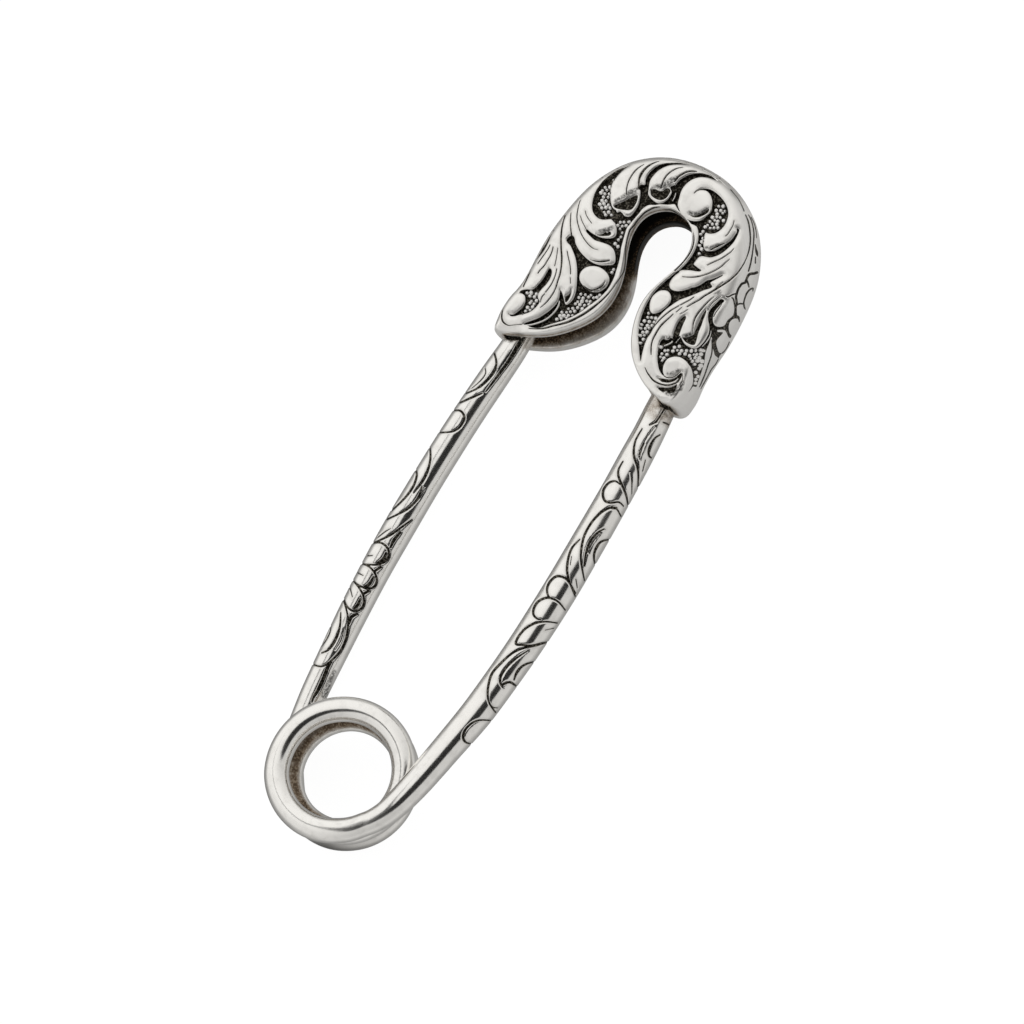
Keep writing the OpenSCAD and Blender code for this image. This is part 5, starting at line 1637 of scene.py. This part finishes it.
@dataclass(frozen=True)
class SilverFinish:
    """Polished silver with black oxide in the recesses and brown tarnish in the hollows, and painted shade:
    grey near the cuts, dark specks on the leaves, darker brown to black in the cap's hollow and keyhole, and
    dark grey on the spring's lowest turn.
    """

    name: str
    roughness: float
    scratch: tuple[float, float, float]
    silver: Row = (0.955, 0.942, 0.915, 1.0)
    # Grey towards which the metal is mixed as painted shade near the cuts, and as random mottling.
    shade: Row = (0.42, 0.4, 0.37, 1.0)
    oxide: Row = (0.018, 0.016, 0.012, 1.0)
    oxide_light: Row = (0.19, 0.175, 0.145, 1.0)
    bead: Row = (0.98, 0.97, 0.95, 1.0)
    # Dark grey for the dark specks, oxide on the arms and painted shade on the leaves, and for painted shade
    # on the spring's lowest turn.
    smut_and_shade: Row = (0.05, 0.048, 0.044, 1.0)
    tarnish: Row = (0.26, 0.175, 0.105, 1.0)
    tarnish_light: Row = (0.55, 0.48, 0.38, 1.0)
    tarnish_dark: Row = (0.042, 0.028, 0.015, 1.0)

    def make(self) -> bpy.types.Material:
        """The node material.

        It reads four fields of the mesh. Metal is black where recess is below 0, and bright again where bead
        is above 0. Near a cut the metal is greyer with painted shade. The specks field above 0 is dark
        specks, oxide on the arms and painted shade on the leaves, and below 0 satin metal. The tarnish field
        above 0 is brown tarnish, turning black where it stands for painted shade in the hollow, and below 0
        painted shade, a dark grey. Its grain and scratches lie in Object coordinates.

        Returns:
            The material.
        """
        material = bpy.data.materials.new(self.name)
        material.use_nodes = True
        nodes = Nodes(material.node_tree)
        recess, bead, oxide_and_shade, tarnish_and_shade = (
            nodes.add("ShaderNodeAttribute", attribute_name=label).outputs["Fac"]
            for label in ("recess", "bead", "oxide_and_shade", "tarnish_and_shade")
        )
        fine, coarse, grain = nodes.noise(9000.0, 4.0), nodes.noise(1400.0, 4.0), nodes.noise(6000.0, 2.0)

        edge = nodes.plus(recess, nodes.linear(fine, 0.016, -0.008))
        sunk = nodes.ramp(edge, 0.016, -0.014)
        on_bead = nodes.ramp(bead, -0.005, 0.02)
        bright = nodes.times(on_bead, sunk)
        black = nodes.times(sunk, nodes.minus(1.0, on_bead))
        satin = nodes.ramp(oxide_and_shade, 0.0, -1.0, 0.0, 0.85)
        # Tarnish, and painted shade in the cap's hollow, mottled by noise.
        tarnish_and_shade_depth = nodes.plus(tarnish_and_shade, nodes.linear(coarse, 0.5, -0.25))
        brown = nodes.ramp(tarnish_and_shade_depth, 0.15, 0.75)

        # Painted shade: the metal turns greyer close to a cut, with random mottling on top.
        edge_shade_and_mottle = nodes.plus(nodes.ramp(edge, 0.3, 0.0, 0.0, 0.2), nodes.ramp(coarse, 0.45, 0.75, 0.0, 0.16))
        # Dark specks: oxide on the arms, painted shade on the leaves.
        oxide_and_shade_specks = nodes.times(nodes.ramp(oxide_and_shade, 0.1, 0.95), nodes.ramp(grain, 0.36, 0.56, 0.3, 1.0))
        metal = nodes.mix(edge_shade_and_mottle, self.silver, self.shade)
        metal = nodes.mix(nodes.times(oxide_and_shade_specks, 0.85), metal, self.smut_and_shade)
        metal = nodes.mix(nodes.most(bright, satin), metal, self.bead)
        # Painted shade: dark grey on the spring's lowest turn, where the tarnish field is below 0.
        metal = nodes.mix(nodes.ramp(tarnish_and_shade, 0.0, -1.0, 0.0, 0.9), metal, self.smut_and_shade)
        floor = nodes.mix(nodes.ramp(grain, 0.47, 0.68), self.oxide, self.oxide_light)
        colour = nodes.mix(black, nodes.mix(brown, metal, self.browned(nodes, tarnish_and_shade_depth, grain)), floor)

        dull = nodes.most(black, nodes.times(brown, 0.75))
        not_metal = nodes.most(nodes.most(nodes.times(bright, 0.7), satin), nodes.times(brown, 0.6))
        rough = nodes.linear(dull, 0.3, nodes.linear(coarse, 0.1, self.roughness - 0.05))
        bump = nodes.add("ShaderNodeBump")
        bump.inputs["Strength"].default_value = 0.12
        bump.inputs["Distance"].default_value = 0.00003
        grit = nodes.times(fine, nodes.linear(dull, 3.0, 0.35))
        scratches = nodes.noise(1.0, 3.0, self.scratch)
        nodes.feed(bump.inputs["Height"], nodes.plus(nodes.times(scratches, 0.5), grit))

        shader = nodes.add("ShaderNodeBsdfPrincipled")
        shader.inputs["Specular IOR Level"].default_value = 0.3
        nodes.feed(shader.inputs["Base Color"], colour)
        nodes.feed(shader.inputs["Metallic"], nodes.minus(1.0, not_metal))
        nodes.feed(shader.inputs["Roughness"], rough)
        nodes.feed(shader.inputs["Normal"], bump.outputs[0])
        nodes.feed(nodes.add("ShaderNodeOutputMaterial").inputs["Surface"], shader.outputs[0])
        return material

    def browned(self, nodes: Nodes, tarnish_and_shade_depth: Socket, grain: Socket) -> Socket:
        """The colour of the tarnish and of the painted shade in the cap's hollow.

        Args:
            nodes: The material's nodes.
            tarnish_and_shade_depth: How thick the tarnish is, with painted shade in the cap's hollow.
            grain: Noise that mottles it.

        Returns:
            Light brown, then dark brown and at last black as the tarnish thickens; the black stands for
            painted shade in the cap's hollow and keyhole.
        """
        light = nodes.mix(nodes.ramp(grain, 0.45, 0.65), self.tarnish, self.tarnish_light)
        dark = nodes.mix(nodes.ramp(grain, 0.45, 0.7), self.tarnish_dark, self.tarnish)
        brown = nodes.mix(nodes.ramp(tarnish_and_shade_depth, 0.45, 0.95), light, dark)
        return nodes.mix(nodes.ramp(tarnish_and_shade_depth, 1.15, 1.5), brown, self.oxide)


@dataclass
class Studio:
    """A bright tent with one dark strip overhead, a pale floor and the camera at the photograph's angle."""

    camera_mm: tuple[float, float, float] = (160.363, -49.261, 475.012)
    target_mm: tuple[float, float, float] = (0.2404, -0.4535, 2.3)
    camera_up: tuple[float, float, float] = (-0.46105, 0.8531, 0.24425)
    lens: float = 215.0
    floor_side: float = 8.0

    def camera(self) -> None:
        """Makes the camera, which looks from its place at the target with its top side towards camera_up."""
        data = bpy.data.cameras.new("camera")
        data.lens, data.sensor_width = self.lens, 36.0
        data.clip_start, data.clip_end = 0.05, 50.0
        made = bpy.data.objects.new("camera", data)
        z = np.array(self.camera_mm) - self.target_mm
        z /= np.linalg.norm(z)
        x = np.cross(self.camera_up, z)
        x /= np.linalg.norm(x)
        y = np.cross(z, x)
        place = np.eye(4)
        place[:3] = np.stack([x, y, z, np.array(self.camera_mm) * MM], 1)
        made.matrix_world = Matrix(place.tolist())
        bpy.context.scene.collection.objects.link(made)
        bpy.context.scene.camera = made

    def floor(self) -> None:
        """A wide pale floor on the resting plane, white to the camera with a faint contact shadow."""
        half = self.floor_side / 2
        mesh = bpy.data.meshes.new("floor")
        corners = [(-half, -half, 0), (half, -half, 0), (half, half, 0), (-half, half, 0)]
        mesh.from_pydata(corners, [], [(0, 1, 2, 3)])
        made = bpy.data.objects.new("floor", mesh)
        material = bpy.data.materials.new("pale_floor")
        material.use_nodes = True
        nodes = Nodes(material.node_tree)
        paper = nodes.add("ShaderNodeBsdfDiffuse")
        paper.inputs["Color"].default_value = (0.9, 0.9, 0.9, 1.0)
        glow = nodes.add("ShaderNodeEmission")
        glow.inputs["Strength"].default_value = 1.12
        out = nodes.add("ShaderNodeOutputMaterial")
        nodes.feed(out.inputs["Surface"], nodes.between(0.85, paper, glow))
        mesh.materials.append(material)
        made.visible_glossy = False
        made.visible_diffuse = False
        bpy.context.scene.collection.objects.link(made)

    def tent(self) -> None:
        """The light all round.

        It is bright overhead and on the left, greyer low on the right, and grey below the horizon.
        Directions are laid out flat as u = x g and v = y g with g = sqrt(2 / (1 + z)), where equal solid
        angles keep equal areas. A dark canopy, an oval in u and v, hangs right of the zenith, and a thin dark
        cord, where v is near a quadratic in u, crosses in front of it.
        """
        world = bpy.data.worlds.new("tent")
        bpy.context.scene.world = world
        world.use_nodes = True
        nodes = Nodes(world.node_tree)
        split = nodes.add("ShaderNodeSeparateXYZ")
        nodes.feed(split.inputs[0], nodes.add("ShaderNodeTexCoord").outputs["Generated"])
        x, y, z = split.outputs
        grow = nodes.math("SQRT", nodes.math("DIVIDE", 2.0, nodes.most(nodes.plus(z, 1.0), 0.02)))
        u, v = nodes.times(x, grow), nodes.times(y, grow)

        sky = nodes.times(nodes.ramp(x, -0.45, 0.8, 0.92, 0.62), nodes.ramp(y, 0.1, -0.9, 1.0, 0.8))
        low = nodes.times(nodes.ramp(x, -0.8, 0.3, 0.34, 0.62), nodes.ramp(z, -0.2, -0.9, 1.0, 0.55))
        above = nodes.ramp(z, -0.3, 0.3)
        base = nodes.plus(nodes.times(sky, above), nodes.times(low, nodes.minus(1.0, above)))

        across = nodes.math("DIVIDE", nodes.minus(u, nodes.linear(v, 0.37, 0.47)), 0.4)
        along = nodes.math("DIVIDE", nodes.minus(v, -0.02), 0.52)
        out = nodes.math("SQRT", nodes.plus(nodes.times(across, across), nodes.times(along, along)))
        canopy = nodes.ramp(out, 1.1, 0.9)

        bow = nodes.linear(nodes.times(u, u), 0.73, nodes.linear(u, -0.5, -0.36))
        half = nodes.ramp(u, -0.55, 0.15, 0.045, 0.17)
        past = nodes.minus(nodes.math("ABSOLUTE", nodes.minus(v, bow)), half)
        ends = nodes.times(nodes.ramp(u, -0.58, -0.48), nodes.ramp(u, 0.25, 0.15))
        cord = nodes.times(nodes.ramp(past, 0.02, -0.02), ends)
        dark = nodes.times(nodes.most(canopy, nodes.times(cord, 0.97)), 0.97)

        light = nodes.add("ShaderNodeBackground")
        light.inputs["Color"].default_value = (1.0, 0.99, 0.97, 1.0)
        nodes.feed(light.inputs["Strength"], nodes.times(base, nodes.minus(1.0, dark)))
        white = nodes.add("ShaderNodeBackground")
        white.inputs["Strength"].default_value = 1.05
        to_camera = nodes.add("ShaderNodeLightPath").outputs["Is Camera Ray"]
        shown = nodes.between(to_camera, light, white)
        nodes.feed(nodes.add("ShaderNodeOutputWorld").inputs["Surface"], shown)

    def build(self) -> None:
        """Camera, floor, tent and plain colours."""
        self.camera()
        self.floor()
        self.tent()
        bpy.context.scene.view_settings.view_transform = "Standard"


def main() -> None:
    """Builds the studio, the cap and the wire."""
    logging.basicConfig(level=logging.INFO, format="%(name)s: %(message)s")
    Studio().build()
    cast = SilverFinish("cast_silver", 0.34, (5000.0, 5000.0, 5000.0)).make()
    drawn = SilverFinish("drawn_silver", 0.16, (9000.0, 500.0, 9000.0)).make()
    for name, patch in Cap().build():
        piece = make_object(name, patch, cast)
        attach(piece, "frame")
        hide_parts("head")
        LOG.info("%s: %d faces", name, len(piece.data.polygons))
    stands_for = {"back_arm_wire": "back_arm", "spring_coil": "coil", "pin_arm_wire": "pin_arm"}
    for name, patch in Wire().build().items():
        piece = make_object(name, patch, drawn)
        if name == "spring_coil":
            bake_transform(piece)
        else:
            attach(piece, "frame" if name == "back_arm_wire" else "pin")
        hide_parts(stands_for[name])
        LOG.info("%s: %d faces", name, len(piece.data.polygons))


if __name__ == "__main__":
    main()
